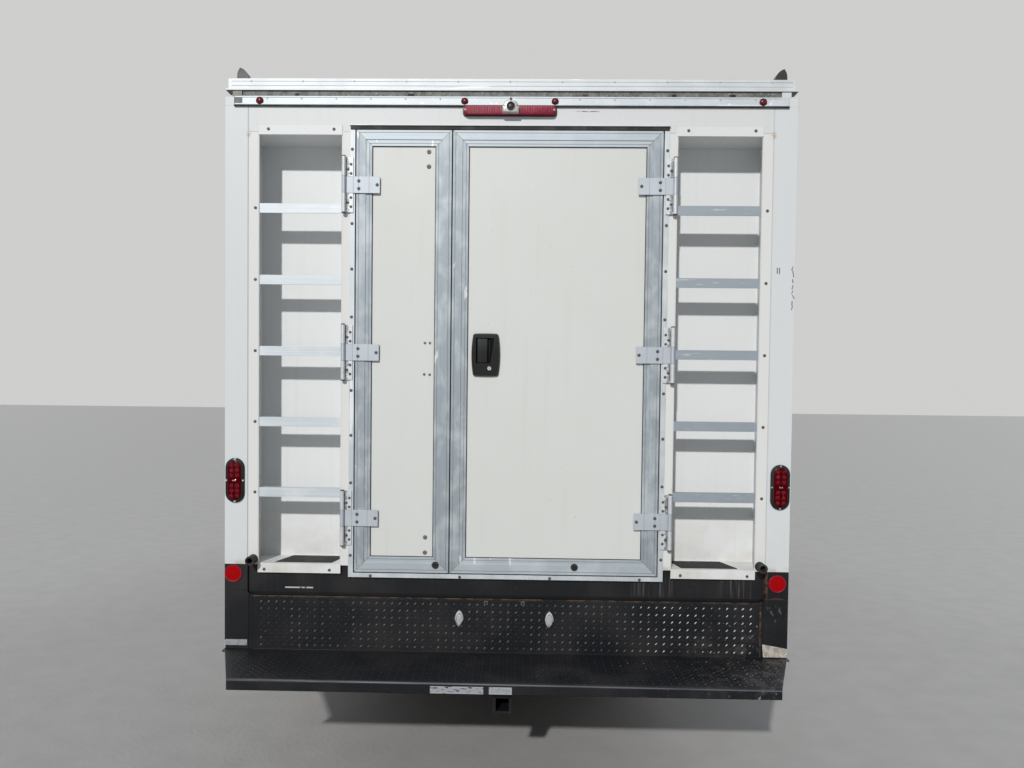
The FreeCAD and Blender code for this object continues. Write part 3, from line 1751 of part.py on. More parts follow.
def check():
    """Stops the script if any object failed, or a finished sub-part isn't a valid solid."""
    for item in doc.Objects:
        if "Invalid" in item.State or "Error" in item.State:
            raise RuntimeError(f"{item.Name} failed: {item.State}")
    for item in POCKETS:
        if item.BaseFeature and item.Shape.Volume >= item.BaseFeature.Shape.Volume - 1e-6:
            raise RuntimeError(f"{item.Name} cuts nothing")
    for item in NODES:
        if item.Shape.isNull() or not item.Shape.isValid() or not item.Shape.Solids:
            raise RuntimeError(f"{item.Label} isn't a valid solid")


def write():
    os.makedirs("parts", exist_ok=True)
    for item in NODES:
        item.Shape.exportStep(f"parts/{item.Label}.step")


build()
check()
write()
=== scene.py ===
import math

import bpy
from mathutils import Matrix, Vector


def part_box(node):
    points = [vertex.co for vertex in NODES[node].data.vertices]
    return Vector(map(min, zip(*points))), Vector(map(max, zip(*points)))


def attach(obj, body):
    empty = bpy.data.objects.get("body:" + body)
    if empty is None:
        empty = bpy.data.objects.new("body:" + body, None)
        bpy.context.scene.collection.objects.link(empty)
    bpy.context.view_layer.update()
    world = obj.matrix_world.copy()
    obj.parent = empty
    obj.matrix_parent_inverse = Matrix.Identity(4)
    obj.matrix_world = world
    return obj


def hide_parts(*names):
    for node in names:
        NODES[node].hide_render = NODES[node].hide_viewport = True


# The looks of a box truck around its solids: X to the kerb side, Y forward, Z up, in metres
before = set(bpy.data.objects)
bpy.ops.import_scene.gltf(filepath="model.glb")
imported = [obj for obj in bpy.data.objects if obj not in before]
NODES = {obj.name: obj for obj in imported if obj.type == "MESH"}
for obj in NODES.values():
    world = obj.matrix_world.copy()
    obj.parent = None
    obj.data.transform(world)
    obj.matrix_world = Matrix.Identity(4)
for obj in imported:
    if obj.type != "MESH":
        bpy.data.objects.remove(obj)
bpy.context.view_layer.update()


def low(node):
    """The lower corner of a node's box."""
    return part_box(node)[0]


def high(node):
    """The upper corner of a node's box."""
    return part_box(node)[1]


# Places taken from the solids
FACE = low("box_roof").y
DOOR_FACE = FACE - 0.004
BOX_FRONT = high("box_roof").y
NOSE = high("front_bumper").y
HALF = high("box_side_right").x
PANEL_BASE = low("box_side_right").z
ROOF_BASE = low("box_roof").z
ROOF_TOP = high("box_roof").z
STEP_END = low("step_bumper").y
TREAD = low("step_bumper").z
KICK_TOP = high("step_bumper").z
FLOOR_TOP = high("box_floor").z
WHEEL_Z = (low("tyre_front_right").z + high("tyre_front_right").z) / 2
TYRE_RADIUS = high("tyre_front_right").z - WHEEL_Z
FRONT_AXLE = (low("tyre_front_right").y + high("tyre_front_right").y) / 2
REAR_AXLE = (low("tyres_rear_right").y + high("tyres_rear_right").y) / 2

# Places that no node's box gives: heights of hinges and rungs, the handle, the lamps, a hinge pin
TREAD_TOP = TREAD + 0.045
HINGES = (1.045, 1.745, 2.445)
HANDLE = Vector((-0.090, DOOR_FACE + 0.007, 1.740))
STILE = 0.066
RUNGS = [1.149 + 0.3 * i for i in range(5)]
HEADER_Z = 2.792
WELL_TOP = high("ladder_recesses").z - 0.040
TAIL_LAMP = (1.150, 1.198)
POST_EDGE = 1.095
PIN = (0.690, FACE - 0.016)
SCREEN_SLOPE = 0.8654

# Sides and directions
SIDES = ((1, "right"), (-1, "left"))
BACK = (0, -1, 0)
OUTWARD = (1, 0, 0)


def add_node(tree, kind, inputs=(), **settings):
    """A new shader node: its inputs are values, or sockets to join to."""
    item = tree.nodes.new(kind)
    for key, value in settings.items():
        setattr(item, key, value)
    for key, value in dict(inputs).items():
        socket = item.inputs[key]
        if isinstance(value, bpy.types.NodeSocket):
            tree.links.new(value, socket)
        else:
            socket.default_value = value
    return item


# Procedural materials
class Look:
    """A material whose patterns are laid out in the truck's own coordinates, in metres."""

    def __init__(self, name, colour, rough, metal=0.0, shine=0.5, **others):
        """The others are inputs of the shader, with _ for each space."""
        self.material = bpy.data.materials.new(name)
        self.material.use_nodes = True
        self.tree = self.material.node_tree
        self.shader = self.tree.nodes["Principled BSDF"]
        self.shader.inputs["Base Color"].default_value = (*colour, 1)
        self.shader.inputs["Roughness"].default_value = rough
        self.shader.inputs["Metallic"].default_value = metal
        self.shader.inputs["Specular IOR Level"].default_value = shine
        for key, value in others.items():
            self.shader.inputs[key.replace("_", " ")].default_value = value
        self.at = self.node("ShaderNodeTexCoord").outputs["Object"]
        self.height = None

    def node(self, kind, inputs=(), **settings):
        """A new node of this material."""
        return add_node(self.tree, kind, inputs, **settings)

    def axis(self, letter):
        """One of the three coordinates."""
        return self.node("ShaderNodeSeparateXYZ", {0: self.at}).outputs[letter]

    def maths(self, operation, *values):
        """One step of arithmetic."""
        return self.node("ShaderNodeMath", dict(enumerate(values)), operation=operation).outputs[0]

    def moved(self, centre=(0, 0, 0), stretch=(1, 1, 1)):
        """Coordinates about a centre, each axis stretched."""
        shifted = self.node("ShaderNodeVectorMath", {0: self.at, 1: centre}, operation="SUBTRACT")
        inputs = {0: shifted.outputs[0], 1: stretch}
        return self.node("ShaderNodeVectorMath", inputs, operation="MULTIPLY").outputs[0]

    def out(self):
        """The distance from the middle of the truck."""
        return self.maths("ABSOLUTE", self.axis("X"))

    def away(self, value, place):
        """How far a value is from a place, either way."""
        return self.maths("ABSOLUTE", self.maths("SUBTRACT", value, place))

    def noise(self, scale, detail):
        """Cloudy noise: its scale is one number, or three where it is drawn out along an axis."""
        even = not isinstance(scale, tuple)
        at = self.moved(stretch=(1, 1, 1) if even else scale)
        settings = {"Vector": at, "Scale": scale if even else 1.0, "Detail": detail}
        return self.node("ShaderNodeTexNoise", settings).outputs["Fac"]

    def wander(self, scale, detail, reach):
        """Noise that strays by half the reach to either side of 0."""
        return self.maths("MULTIPLY", self.maths("SUBTRACT", self.noise(scale, detail), 0.5), reach)

    def cells(self, scale):
        """A cell pattern: how far the nearest cell's middle is."""
        settings = {"Vector": self.moved(), "Scale": scale}
        return self.node("ShaderNodeTexVoronoi", settings).outputs["Distance"]

    def ramp(self, value, start, end, top=1.0):
        """A mask from 0 at start to top at end."""
        settings = {"Value": value, "From Min": start, "From Max": end, "To Min": 0.0, "To Max": top}
        return self.node("ShaderNodeMapRange", settings).outputs[0]

    def cloud(self, scale, detail, start, end, top=1.0):
        """A mask of noise patches."""
        return self.ramp(self.noise(scale, detail), start, end, top)

    def along(self, letter, start, end, top=1.0):
        """A mask that grows along one axis."""
        return self.ramp(self.axis(letter), start, end, top)

    def both(self, *masks):
        """A mask that shows only where all of these do."""
        result = masks[0]
        for mask in masks[1:]:
            result = self.maths("MULTIPLY", result, mask)
        return result

    def near(self, letter, value, reach, soft=0.003):
        """A mask that is 1 within reach of a place on one axis."""
        return self.ramp(self.away(self.axis(letter), value), reach + soft, reach)

    def blend(self, key, mask, value):
        """Mixes a new value into one of the shader's inputs where the mask is 1."""
        socket = self.shader.inputs[key]
        old = socket.links[0].from_socket if socket.is_linked else socket.default_value
        if key == "Base Color":
            mixer = self.node("ShaderNodeMix", {0: mask, 6: old, 7: (*value, 1)}, data_type="RGBA")
            self.tree.links.new(mixer.outputs[2], socket)
        else:
            mixer = self.node("ShaderNodeMix", {0: mask, 2: old, 3: value}, data_type="FLOAT")
            self.tree.links.new(mixer.outputs[0], socket)
        return self

    def tint(self, mask, colour, amount=None):
        """Colours what the mask shows, wholly or by an amount."""
        return self.blend("Base Color", mask if amount is None else self.both(mask, amount), colour)

    def patches(self, colour, *cloud):
        """Colours patches of noise: cloud is what cloud() takes."""
        return self.tint(self.cloud(*cloud), colour)

    def facets(self, colour, scale, start, end, top):
        """Colours the rims of a cell pattern."""
        return self.tint(self.ramp(self.cells(scale), start, end, top), colour)

    def dull(self, mask, rough):
        """Gives what the mask shows another roughness."""
        return self.blend("Roughness", mask, rough)

    def bump(self, value, depth):
        """Adds relief: depth is in metres for a value of 1."""
        scaled = self.maths("MULTIPLY", value, depth)
        self.height = scaled if self.height is None else self.maths("ADD", self.height, scaled)
        return self

    def grain(self, scale, detail, depth):
        """Adds relief drawn from noise."""
        return self.bump(self.noise(scale, detail), depth)

    def done(self, edge=0.0):
        """Joins the relief to the shader, with edges rounded by a small radius."""
        normal = None
        if edge:
            normal = self.node("ShaderNodeBevel", {"Radius": edge}, samples=4).outputs[0]
        if self.height is not None:
            settings = {"Strength": 1.0, "Distance": 1.0, "Height": self.height}
            if normal:
                settings["Normal"] = normal
            normal = self.node("ShaderNodeBump", settings).outputs[0]
        if normal:
            self.tree.links.new(normal, self.shader.inputs["Normal"])
        return self.material


def sheet_paint(name, colour, faded, runs, grime):
    """White paint with cloudy fading, faint runs, grime towards the floor and specks of rust."""
    look = Look(name, colour, 0.42, shine=0.35)
    look.patches(faded, 0.9, 4, 0.42, 0.72, 0.35)
    look.patches(runs, (38, 38, 1.3), 5, 0.56, 0.74, 0.20)
    low_down = look.both(look.along("Z", 1.10, 0.80), look.cloud(14, 5, 0.40, 0.72))
    look.tint(low_down, grime, 0.55)
    look.patches((0.30, 0.22, 0.15), 150, 2, 0.735, 0.76, 0.55)
    look.grain(260, 2, 0.00006)
    return look


def white_paint():
    """The body's sheets, with the scratches, joints, rust, rubs and painted shadow lines of the rear face.
    """
    look = sheet_paint("white_paint", (0.672, 0.688, 0.700), (0.650, 0.656, 0.645), (0.545, 0.54, 0.51),
                       (0.50, 0.46, 0.39))
    rear = look.near("Y", FACE, 0.004, 0.002)
    out = look.out()
    # Bluish corner posts, and warmer panels between them and the doors
    post = look.both(rear, look.ramp(out, POST_EDGE, POST_EDGE + 0.0005))
    look.tint(post, (0.650, 0.685, 0.705), 0.7)
    beside = look.both(look.ramp(out, 0.6495, 0.650), look.ramp(out, POST_EDGE, POST_EDGE - 0.0005))
    beside = look.both(rear, beside, look.along("Z", WELL_TOP + 0.014, WELL_TOP + 0.013))
    look.tint(beside, (0.730, 0.738, 0.720), 0.75)
    # A long wavy scratch and two nicks over the kerb side lamp
    drift = look.maths("ADD", look.axis("X"), look.wander((0, 0, 42), 2, 0.034))
    line = look.ramp(look.away(drift, 1.186), 0.0024, 0.0012)
    broken = look.cloud((0, 0, 75), 2, 0.44, 0.47)
    scratch = look.both(line, broken, look.near("Z", 2.030, 0.085, 0.01), rear)
    look.tint(scratch, (0.035, 0.035, 0.04))
    for x in (1.121, 1.130):
        nick = look.both(look.near("X", x, 0.0012, 0.0012), look.near("Z", 2.102, 0.011, 0.003), rear)
        look.tint(nick, (0.04, 0.04, 0.045))
    # Seams beside the posts, rusty near their tops
    for x in (-POST_EDGE, POST_EDGE):
        seam = look.both(look.near("X", x, 0.0006, 0.0006), look.near("Z", 1.80, 0.96), rear)
        look.tint(seam, (0.33, 0.32, 0.29), 0.7)
        rust = look.both(look.near("X", x, 0.002, 0.012), look.near("Z", 2.658, 0.004, 0.016), rear)
        look.tint(look.both(rust, look.cloud(80, 3, 0.40, 0.60)), (0.38, 0.22, 0.10), 0.75)
    # The joints over the wells, a painted shadow line along the top of each lip, rust along the foot of the
    # panels and a rub on the header
    over = look.away(out, 0.872)
    joint = look.both(look.ramp(over, 0.224, 0.222), look.ramp(over, 0.178, 0.180))
    joint = look.both(joint, look.near("Z", WELL_TOP + 0.013, 0.0008, 0.0008), rear)
    look.tint(joint, (0.33, 0.29, 0.24), 0.7)
    # Painted shadow: a thin grey line along the top of each lip.
    edge = look.both(look.ramp(over, 0.182, 0.1815), look.near("Z", WELL_TOP + 0.0408, 0.0006, 0.0006), rear)
    look.tint(edge, (0.40, 0.40, 0.38), 0.55)
    foot = look.both(look.near("Z", PANEL_BASE, 0.004, 0.020), look.cloud(30, 4, 0.45, 0.62), rear)
    look.tint(foot, (0.34, 0.24, 0.15), 0.45)
    rub = look.both(look.near("X", 0.325, 0.036, 0.02), look.near("Z", 2.755, 0.0012, 0.0014))
    look.tint(look.both(rub, rear, look.cloud(150, 2, 0.38, 0.48)), (0.16, 0.15, 0.14))
    return look.done(0.002)


def well_paint():
    """The ladder wells: a paler white, with painted shade at the ends of each lip."""
    look = sheet_paint("well_paint", (0.725, 0.740, 0.745), (0.69, 0.70, 0.69), (0.57, 0.56, 0.52),
                       (0.52, 0.48, 0.40))
    # Painted shade: a dark line at each end of the proud lip.
    ends = look.away(look.out(), 0.8735)
    lips = look.both(look.along("Y", FACE + 0.0003, FACE), look.ramp(ends, 0.1785, 0.1793))
    look.tint(lips, (0.33, 0.33, 0.31), 0.5)
    return look.done(0.002)


def door_panel_paint():
    """Grained door skins: cream white with cloudy fading, faint runs and specks."""
    look = Look("door_panel_paint", (0.652, 0.668, 0.650), 0.42)
    look.patches((0.624, 0.634, 0.610), 1.6, 4, 0.44, 0.70, 0.5)
    look.patches((0.562, 0.562, 0.528), (30, 30, 1.6), 5, 0.58, 0.78, 0.25)
    look.patches((0.34, 0.25, 0.16), 120, 2, 0.745, 0.765, 0.5)
    look.grain(34, 3, 0.00022)
    look.grain(420, 1, 0.00004)
    look.dull(look.cloud(5, 3, 0.4, 0.7), 0.52)
    return look.done()


def worn_aluminium(look, along):
    """Mill finish: fine drawn lines along one axis, cloudy oxide and a few bright scratches."""
    fine, long = (tuple(drawn if letter == along else cross for letter in "XYZ")
                  for drawn, cross in ((2, 240), (2.5, 30)))
    lines = look.noise(fine, 4)
    look.tint(look.ramp(lines, 0.35, 0.75, 0.5), (0.40, 0.44, 0.475))
    oxide = look.cloud(11, 5, 0.46, 0.66)
    look.tint(oxide, (0.66, 0.70, 0.73), 0.55)
    look.dull(oxide, 0.60)
    look.patches((0.86, 0.87, 0.88), long, 3, 0.66, 0.70, 0.55)
    look.bump(lines, 0.00010)
    look.bump(oxide, 0.00006)


def aluminium(name, along):
    look = Look(name, (0.52, 0.565, 0.595), 0.52, 0.35)
    worn_aluminium(look, along)
    return look.done(0.0015)


def rung_aluminium():
    """Rungs, with painted shade that makes those on the kerb side darker."""
    look = Look("rung_aluminium", (0.585, 0.635, 0.675), 0.50, 0.30)
    worn_aluminium(look, "X")
    # Painted shade: the rungs grow darker towards the kerb side.
    look.tint(look.along("X", -0.5, 0.5, 0.85), (0.25, 0.295, 0.335))
    look.patches((0.66, 0.69, 0.71), (9, 9, 160), 4, 0.64, 0.70, 0.6)
    return look.done(0.0015)


def bar_aluminium():
    """Roof bars, with painted shade underneath them and on the brackets of the driver's side."""
    look = Look("roof_bar_aluminium", (0.56, 0.595, 0.61), 0.52, 0.30)
    worn_aluminium(look, "X")
    # Painted shade: dark grey under the bars and on the driver's side brackets, with darker spots for the
    # slots.
    flange = low("roof_bars").z + 0.043
    under = look.along("Z", flange + 0.0012, flange + 0.0004)
    kerb = look.along("X", 0.9, 0.95)
    feet = look.both(kerb, look.along("Z", flange - 0.0004, flange - 0.0012))
    dark = look.maths("SUBTRACT", under, feet)
    look.tint(dark, (0.165, 0.16, 0.15))
    spots = look.cloud((9, 60, 60), 3, 0.60, 0.66)
    look.tint(look.both(dark, spots), (0.035, 0.034, 0.032))
    return look.done(0.0015)


def door_frame_aluminium(name, panel):
    """Mitred extrusions: lines run along each side, with a dark joint in each corner, painted shade on the
    uprights and in two grooves.
    """
    look = Look(name, (0.435, 0.492, 0.530), 0.52, 0.32)
    x0, z0 = low(panel).x - STILE, low(panel).z - STILE
    x1, z1 = high(panel).x + STILE, high(panel).z + STILE

    def edge_gap(letter, a, b):
        """How far the nearer of two places on an axis is."""
        first = look.away(look.axis(letter), a)
        second = look.away(look.axis(letter), b)
        return look.maths("MINIMUM", first, second)

    gap_x, gap_z = edge_gap("X", x0, x1), edge_gap("Z", z0, z1)
    upright = look.maths("LESS_THAN", gap_x, gap_z)
    lines = [look.noise(stretch, 4) for stretch in ((240, 240, 2), (2, 240, 240))]
    drawn = look.node("ShaderNodeMix", {0: upright, 2: lines[1], 3: lines[0]}).outputs[0]
    # Painted shade: the uprights darker than the top and bottom members.
    look.tint(upright, (0.222, 0.258, 0.290), 0.66)
    look.tint(look.ramp(drawn, 0.35, 0.75, 0.45), (0.285, 0.322, 0.354))
    oxide = look.cloud(9, 5, 0.48, 0.68)
    look.tint(oxide, (0.575, 0.625, 0.665), 0.5)
    smears = look.both(upright, look.cloud((26, 26, 9), 6, 0.50, 0.68))
    look.tint(smears, (0.54, 0.605, 0.605), 0.42)
    look.dull(oxide, 0.58)
    look.patches((0.88, 0.89, 0.90), (26, 26, 5), 3, 0.68, 0.71, 0.6)
    inset = look.maths("MINIMUM", gap_x, gap_z)
    # Painted shade along two grooves of the profile.
    for place in (0.011, 0.0555):
        groove = look.ramp(look.away(inset, place), 0.0012, 0.0006)
        look.tint(groove, (0.16, 0.17, 0.18), 0.55)
        look.bump(groove, -0.0008)
    joint = look.ramp(look.away(gap_x, gap_z), 0.0014, 0.0007)
    corner = look.both(joint, look.ramp(inset, STILE + 0.001, STILE))
    plain = look.maths("GREATER_THAN", look.axis("Y"), DOOR_FACE - 0.0005)
    look.tint(look.both(corner, plain), (0.10, 0.10, 0.10), 0.85)
    strap = look.maths("LESS_THAN", look.axis("Y"), DOOR_FACE - 0.0005)
    look.tint(strap, (0.485, 0.528, 0.580), 0.8)
    look.bump(drawn, 0.0001)
    return look.done(0.0015)


def zinc():
    look = Look("zinc", (0.50, 0.53, 0.56), 0.50, 0.35)
    look.facets((0.38, 0.40, 0.42), 55, 0.2, 0.8, 0.5)
    look.patches((0.34, 0.20, 0.11), 60, 4, 0.60, 0.70, 0.55)
    look.dull(look.cloud(25, 3, 0.4, 0.7), 0.55)
    look.grain(180, 2, 0.00008)
    return look.done()


def hinge_zinc():
    """Bright butts with a ragged dark mark in the corner between barrel and leaf: painted shadow, with
    grease.
    """
    look = Look("hinge_zinc", (0.62, 0.65, 0.68), 0.50, 0.30)
    look.facets((0.50, 0.53, 0.56), 55, 0.2, 0.8, 0.4)
    look.patches((0.34, 0.20, 0.11), 60, 4, 0.62, 0.70, 0.5)
    # Painted shadow mixed with grease: a ragged dark band on the leaf beside the barrel.
    ragged = look.maths("ADD", look.out(), look.wander(130, 3, 0.030))
    dirt = look.ramp(look.away(ragged, 0.6755), 0.0052, 0.0040)
    back = look.along("Y", FACE - 0.0125, FACE - 0.0115)
    look.tint(look.both(dirt, back), (0.11, 0.105, 0.09), 0.7)
    look.grain(180, 2, 0.00008)
    return look.done()


def weathered_zinc_and_shade():
    """Galvanised steel gone dark and blotchy; on the header rail and the driver's side bracket this darkness
    is painted shade.
    """
    look = Look("weathered_zinc_and_shade", (0.165, 0.165, 0.158), 0.62, 0.1)
    look.patches((0.075, 0.074, 0.070), 34, 5, 0.46, 0.62, 0.8)
    look.patches((0.30, 0.295, 0.28), 110, 3, 0.62, 0.66, 0.8)
    look.grain(160, 3, 0.0002)
    return look.done()


def screw_zinc():
    """Screw heads gone dull and dark."""
    look = Look("screw_zinc", (0.10, 0.102, 0.105), 0.5, 0.4)
    look.patches((0.13, 0.075, 0.045), 70, 3, 0.55, 0.68, 0.6)
    look.dull(look.cloud(160, 2, 0.4, 0.7), 0.7)
    look.grain(420, 2, 0.00008)
    return look.done()


def black_paint(name, base, dust, rust, rough=0.42):
    """Black paint on steel: dust that gathers in cloudy patches, and rust spots."""
    look = Look(name, base, rough, shine=0.28)
    cloud = look.cloud(5, 6, 0.44, 0.76)
    look.tint(cloud, (0.036, 0.034, 0.032), dust)
    look.patches((0.036, 0.035, 0.034), (45, 45, 2), 5, 0.60, 0.78, dust * 0.7)
    look.patches((0.13, 0.062, 0.033), 75, 3, 0.70, 0.74, rust)
    look.dull(cloud, 0.7)
    look.grain(140, 3, 0.00018)
    return look


def skirt_paint():
    """The lower body: black paint with a bare scratch, runs of dirt under the door jamb and painted shade in
    the gap above the kick plate.
    """
    look = black_paint("skirt_paint", (0.0060, 0.0068, 0.0090), 0.38, 0.35)
    scratch = look.both(look.near("X", -0.879, 0.058, 0.004), look.near("Z", 0.740, 0.0022, 0.0012))
    look.tint(look.both(scratch, look.cloud(60, 2, 0.30, 0.42)), (0.50, 0.49, 0.46))
    runs = look.cloud((120, 20, 4), 4, 0.50, 0.66)
    for x, reach in ((0.625, 0.065), (0.985, 0.050)):
        patch = look.both(look.near("X", x, reach, 0.03), look.near("Z", 0.770, 0.03, 0.03), runs)
        look.tint(patch, (0.16, 0.155, 0.145), 0.38)
    rust = look.both(look.near("X", 1.1015, 0.005, 0.004), look.cloud(45, 4, 0.38, 0.58))
    look.tint(look.both(rust, look.near("Y", FACE, 0.02)), (0.14, 0.072, 0.042), 0.6)
    # Painted shade: a near-black band in the gap between the apron and the kick plate.
    gap = look.both(look.near("Z", KICK_TOP + 0.0065, 0.0065, 0.0015), look.near("Y", FACE + 0.012, 0.003))
    look.tint(gap, (0.0008, 0.0008, 0.001), 0.92)
    return look.done(0.002)


def step_steel():
    """Tread plate: rusty along the top edge, dusty at the kerb end, with a painted highlight along its lip
    and two bare labels on the lip.
    """
    look = black_paint("step_steel", (0.0055, 0.0063, 0.0090), 0.38, 0.6)
    top = look.along("Z", KICK_TOP - 0.008, KICK_TOP - 0.001)
    edge = look.both(top, look.near("Y", FACE, 0.008), look.cloud(28, 5, 0.40, 0.62))
    look.tint(edge, (0.125, 0.072, 0.048), 0.65)
    right = look.along("X", 0.70, 1.05)
    worn = look.both(right, look.cloud(22, 6, 0.52, 0.68), look.along("Z", 0.62, 0.50))
    look.tint(worn, (0.13, 0.13, 0.13), 0.35)
    flecks = look.both(look.along("X", 0.74, 0.95), look.cloud(70, 3, 0.67, 0.70))
    look.tint(flecks, (0.36, 0.36, 0.36), 0.55)
    # Painted highlight: a thin bluish line along the top of the lip, sloping slightly across the truck.
    level = look.maths("ADD", look.axis("Z"), look.maths("MULTIPLY", look.axis("X"), 0.004))
    off = look.away(level, TREAD_TOP - 0.007)
    lip = look.both(look.near("Y", STEP_END, 0.004), look.ramp(off, 0.0032, 0.0014))
    look.tint(look.both(lip, look.cloud((3, 60, 60), 3, 0.30, 0.55)), (0.12, 0.13, 0.16), 0.7)
    paper = look.cloud((45, 1, 160), 4, 0.585, 0.60)
    label_z = TREAD + 0.0155
    for x, half, torn in ((-0.174, 0.101, 1.0), (-0.007, 0.043, 0.35)):
        plate = look.both(look.near("X", x, half, 0.001), look.near("Z", label_z, 0.0135, 0.0008))
        plate = look.both(plate, look.along("Y", STEP_END + 0.0008, STEP_END + 0.0004))
        look.tint(plate, (0.36, 0.38, 0.40))
        look.tint(look.both(plate, paper), (0.035, 0.036, 0.042), torn)
        inner = look.both(look.near("X", x, half - 0.006, 0.0008), look.near("Z", label_z, 0.0085, 0.0008))
        look.tint(look.both(plate, inner), (0.20, 0.21, 0.24), 0.35)
    return look.done(0.003)


def lug_highlight_steel():
    """Painted highlight: bright steel for the kick plate's lugs of one slant, with painted shade towards the
    driver's side, dark patches and rust.
    """
    look = Look("lug_highlight_steel", (0.46, 0.47, 0.48), 0.36, 0.6)
    look.patches((0.045, 0.045, 0.05), 16, 4, 0.46, 0.58)
    # Painted shade: the lugs grow dark towards the driver's side.
    look.tint(look.along("X", 0.68, 0.50, 0.75), (0.016, 0.017, 0.020))
    look.patches((0.16, 0.085, 0.05), 90, 2, 0.62, 0.70, 0.6)
    look.dull(look.cloud(60, 2, 0.4, 0.7), 0.6)
    return look.done()


def trodden_steel():
    """Lugs of the tread: black, with a few spots worn bright towards the kerb."""
    look = Look("trodden_steel", (0.012, 0.0125, 0.015), 0.5, 0.2)
    kerb = look.along("X", 0.3, 0.9)
    look.tint(look.both(kerb, look.cloud(26, 4, 0.50, 0.62)), (0.13, 0.13, 0.13), 0.7)
    look.tint(look.both(kerb, look.cloud(60, 2, 0.66, 0.70)), (0.42, 0.42, 0.41))
    return look.done()


def rubber(name, tone=0.02, rough=0.72, dust=0.5):
    """Dusty rubber of a given darkness."""
    look = Look(name, (tone, tone, tone * 1.05), rough, shine=0.3)
    look.patches((0.11, 0.10, 0.09), 18, 5, 0.48, 0.72, dust)
    look.grain(300, 2, 0.00012)
    return look.done()


def tyre_rubber(name, axle_y):
    """Side walls with moulded rings, dusty towards the tread."""
    look = Look(name, (0.020, 0.020, 0.021), 0.74)
    around = look.moved((0, axle_y, WHEEL_Z), (0, 1, 1))
    radius = look.node("ShaderNodeVectorMath", {0: around}, operation="LENGTH").outputs["Value"]
    for place, width in ((0.236, 0.002), (0.252, 0.0015), (0.318, 0.002), (0.336, 0.003)):
        look.bump(look.ramp(look.away(radius, place), width + 0.001, width), 0.0012)
    dust = look.both(look.ramp(radius, 0.27, 0.36), look.cloud(22, 5, 0.38, 0.68))
    look.tint(dust, (0.17, 0.155, 0.13), 0.55)
    look.patches((0.07, 0.066, 0.06), 6, 4, 0.50, 0.80, 0.4)
    look.grain(420, 2, 0.0001)
    return look.done()


def wheel_paint():
    """Silver rims with brake dust and rust spots."""
    look = Look("wheel_paint", (0.50, 0.51, 0.52), 0.36, 0.35)
    look.patches((0.26, 0.235, 0.20), 20, 5, 0.45, 0.70, 0.6)
    look.patches((0.25, 0.12, 0.06), 85, 3, 0.68, 0.72, 0.8)
    look.grain(240, 2, 0.00008)
    return look.done(0.0015)


def red_lens():
    """The deep red lens of a stop lamp, with a moulded pattern."""
    look = Look("red_lens", (0.048, 0.0003, 0.002), 0.24, shine=0.04)
    look.facets((0.090, 0.0005, 0.004), 150, 0.25, 0.6, 0.6)
    look.bump(look.cells(330), 0.0006)
    return look.done()


def led_red():
    """Small domes under the lens, painted bright red as if lit, with painted glints on their facets."""
    look = Look("led_red", (0.300, 0.0006, 0.009), 0.2, shine=0.12)
    look.facets((0.055, 0.0004, 0.002), 300, 0.25, 0.50, 0.85)
    # Painted glints: pale pink specks on the domes.
    look.patches((0.50, 0.12, 0.15), 330, 2, 0.65, 0.69, 0.7)
    look.bump(look.cells(520), 0.0010)
    return look.done()


def bar_lens():
    """The lens of the bar lamp: sun-faded and pinkish, with a fine moulded pattern."""
    look = Look("bar_lens", (0.27, 0.008, 0.034), 0.36, shine=0.25)
    ridges = look.node("ShaderNodeTexWave", {"Vector": look.moved(), "Scale": 46.0}, bands_direction="X")
    look.tint(look.ramp(ridges.outputs["Fac"], 0.3, 0.8, 0.7), (0.15, 0.003, 0.014))
    look.patches((0.42, 0.06, 0.12), 22, 3, 0.54, 0.75, 0.35)
    look.bump(ridges.outputs["Fac"], 0.0005)
    return look.done()


def dark_lens():
    """Deep red domes of the small lamps on the header."""
    look = Look("dark_red_lens", (0.150, 0.001, 0.006), 0.16, shine=0.3)
    look.facets((0.26, 0.003, 0.014), 340, 0.25, 0.6, 0.6)
    return look.done()


def reflector_red():
    look = Look("reflector_red", (0.30, 0.0, 0.001), 0.25, shine=0.10)
    look.facets((0.40, 0.001, 0.003), 260, 0.1, 0.7, 0.5)
    look.bump(look.cells(260), 0.0007)
    return look.done()


def amber_lens():
    look = Look("amber_lens", (0.62, 0.17, 0.008), 0.18, Coat_Weight=0.4, Coat_Roughness=0.06)
    look.facets((0.85, 0.34, 0.04), 240, 0.1, 0.7, 0.4)
    look.bump(look.cells(300), 0.0006)
    return look.done()


def plastic(name, tone, rough=0.5, grain=0.00015):
    """Moulded plastic with a fine cell grain and duller patches."""
    look = Look(name, (tone, tone, tone * 1.04), rough)
    look.patches((tone * 2 + 0.01,) * 3, 7, 4, 0.45, 0.75, 0.35)
    look.bump(look.cells(520), grain)
    look.dull(look.cloud(12, 3, 0.4, 0.7), min(0.9, rough + 0.12))
    return look.done(0.001)


def polished(name, colour, rough=0.08):
    look = Look(name, colour, rough, 1.0)
    look.dull(look.cloud(40, 4, 0.5, 0.75, 0.8), rough + 0.22)
    look.grain(90, 2, 0.00004)
    return look.done()


def zinc_casting():
    look = Look("silver_casting", (0.44, 0.44, 0.43), 0.42, 0.35)
    look.patches((0.28, 0.28, 0.27), 60, 4, 0.48, 0.66, 0.6)
    look.grain(300, 2, 0.0001)
    return look.done(0.0008)


def clear_lens():
    look = Look("clear_lens", (0.93, 0.95, 0.96), 0.04, Transmission_Weight=0.92, IOR=1.45)
    ridges = look.node("ShaderNodeTexWave", {"Vector": look.moved(), "Scale": 60.0})
    look.bump(ridges.outputs["Fac"], 0.0003)
    return look.done()


def window_glass():
    look = Look("window_glass", (0.80, 0.88, 0.86), 0.01, Transmission_Weight=1.0, IOR=1.45)
    look.dull(look.cloud(6, 5, 0.55, 0.80), 0.06)
    return look.done()


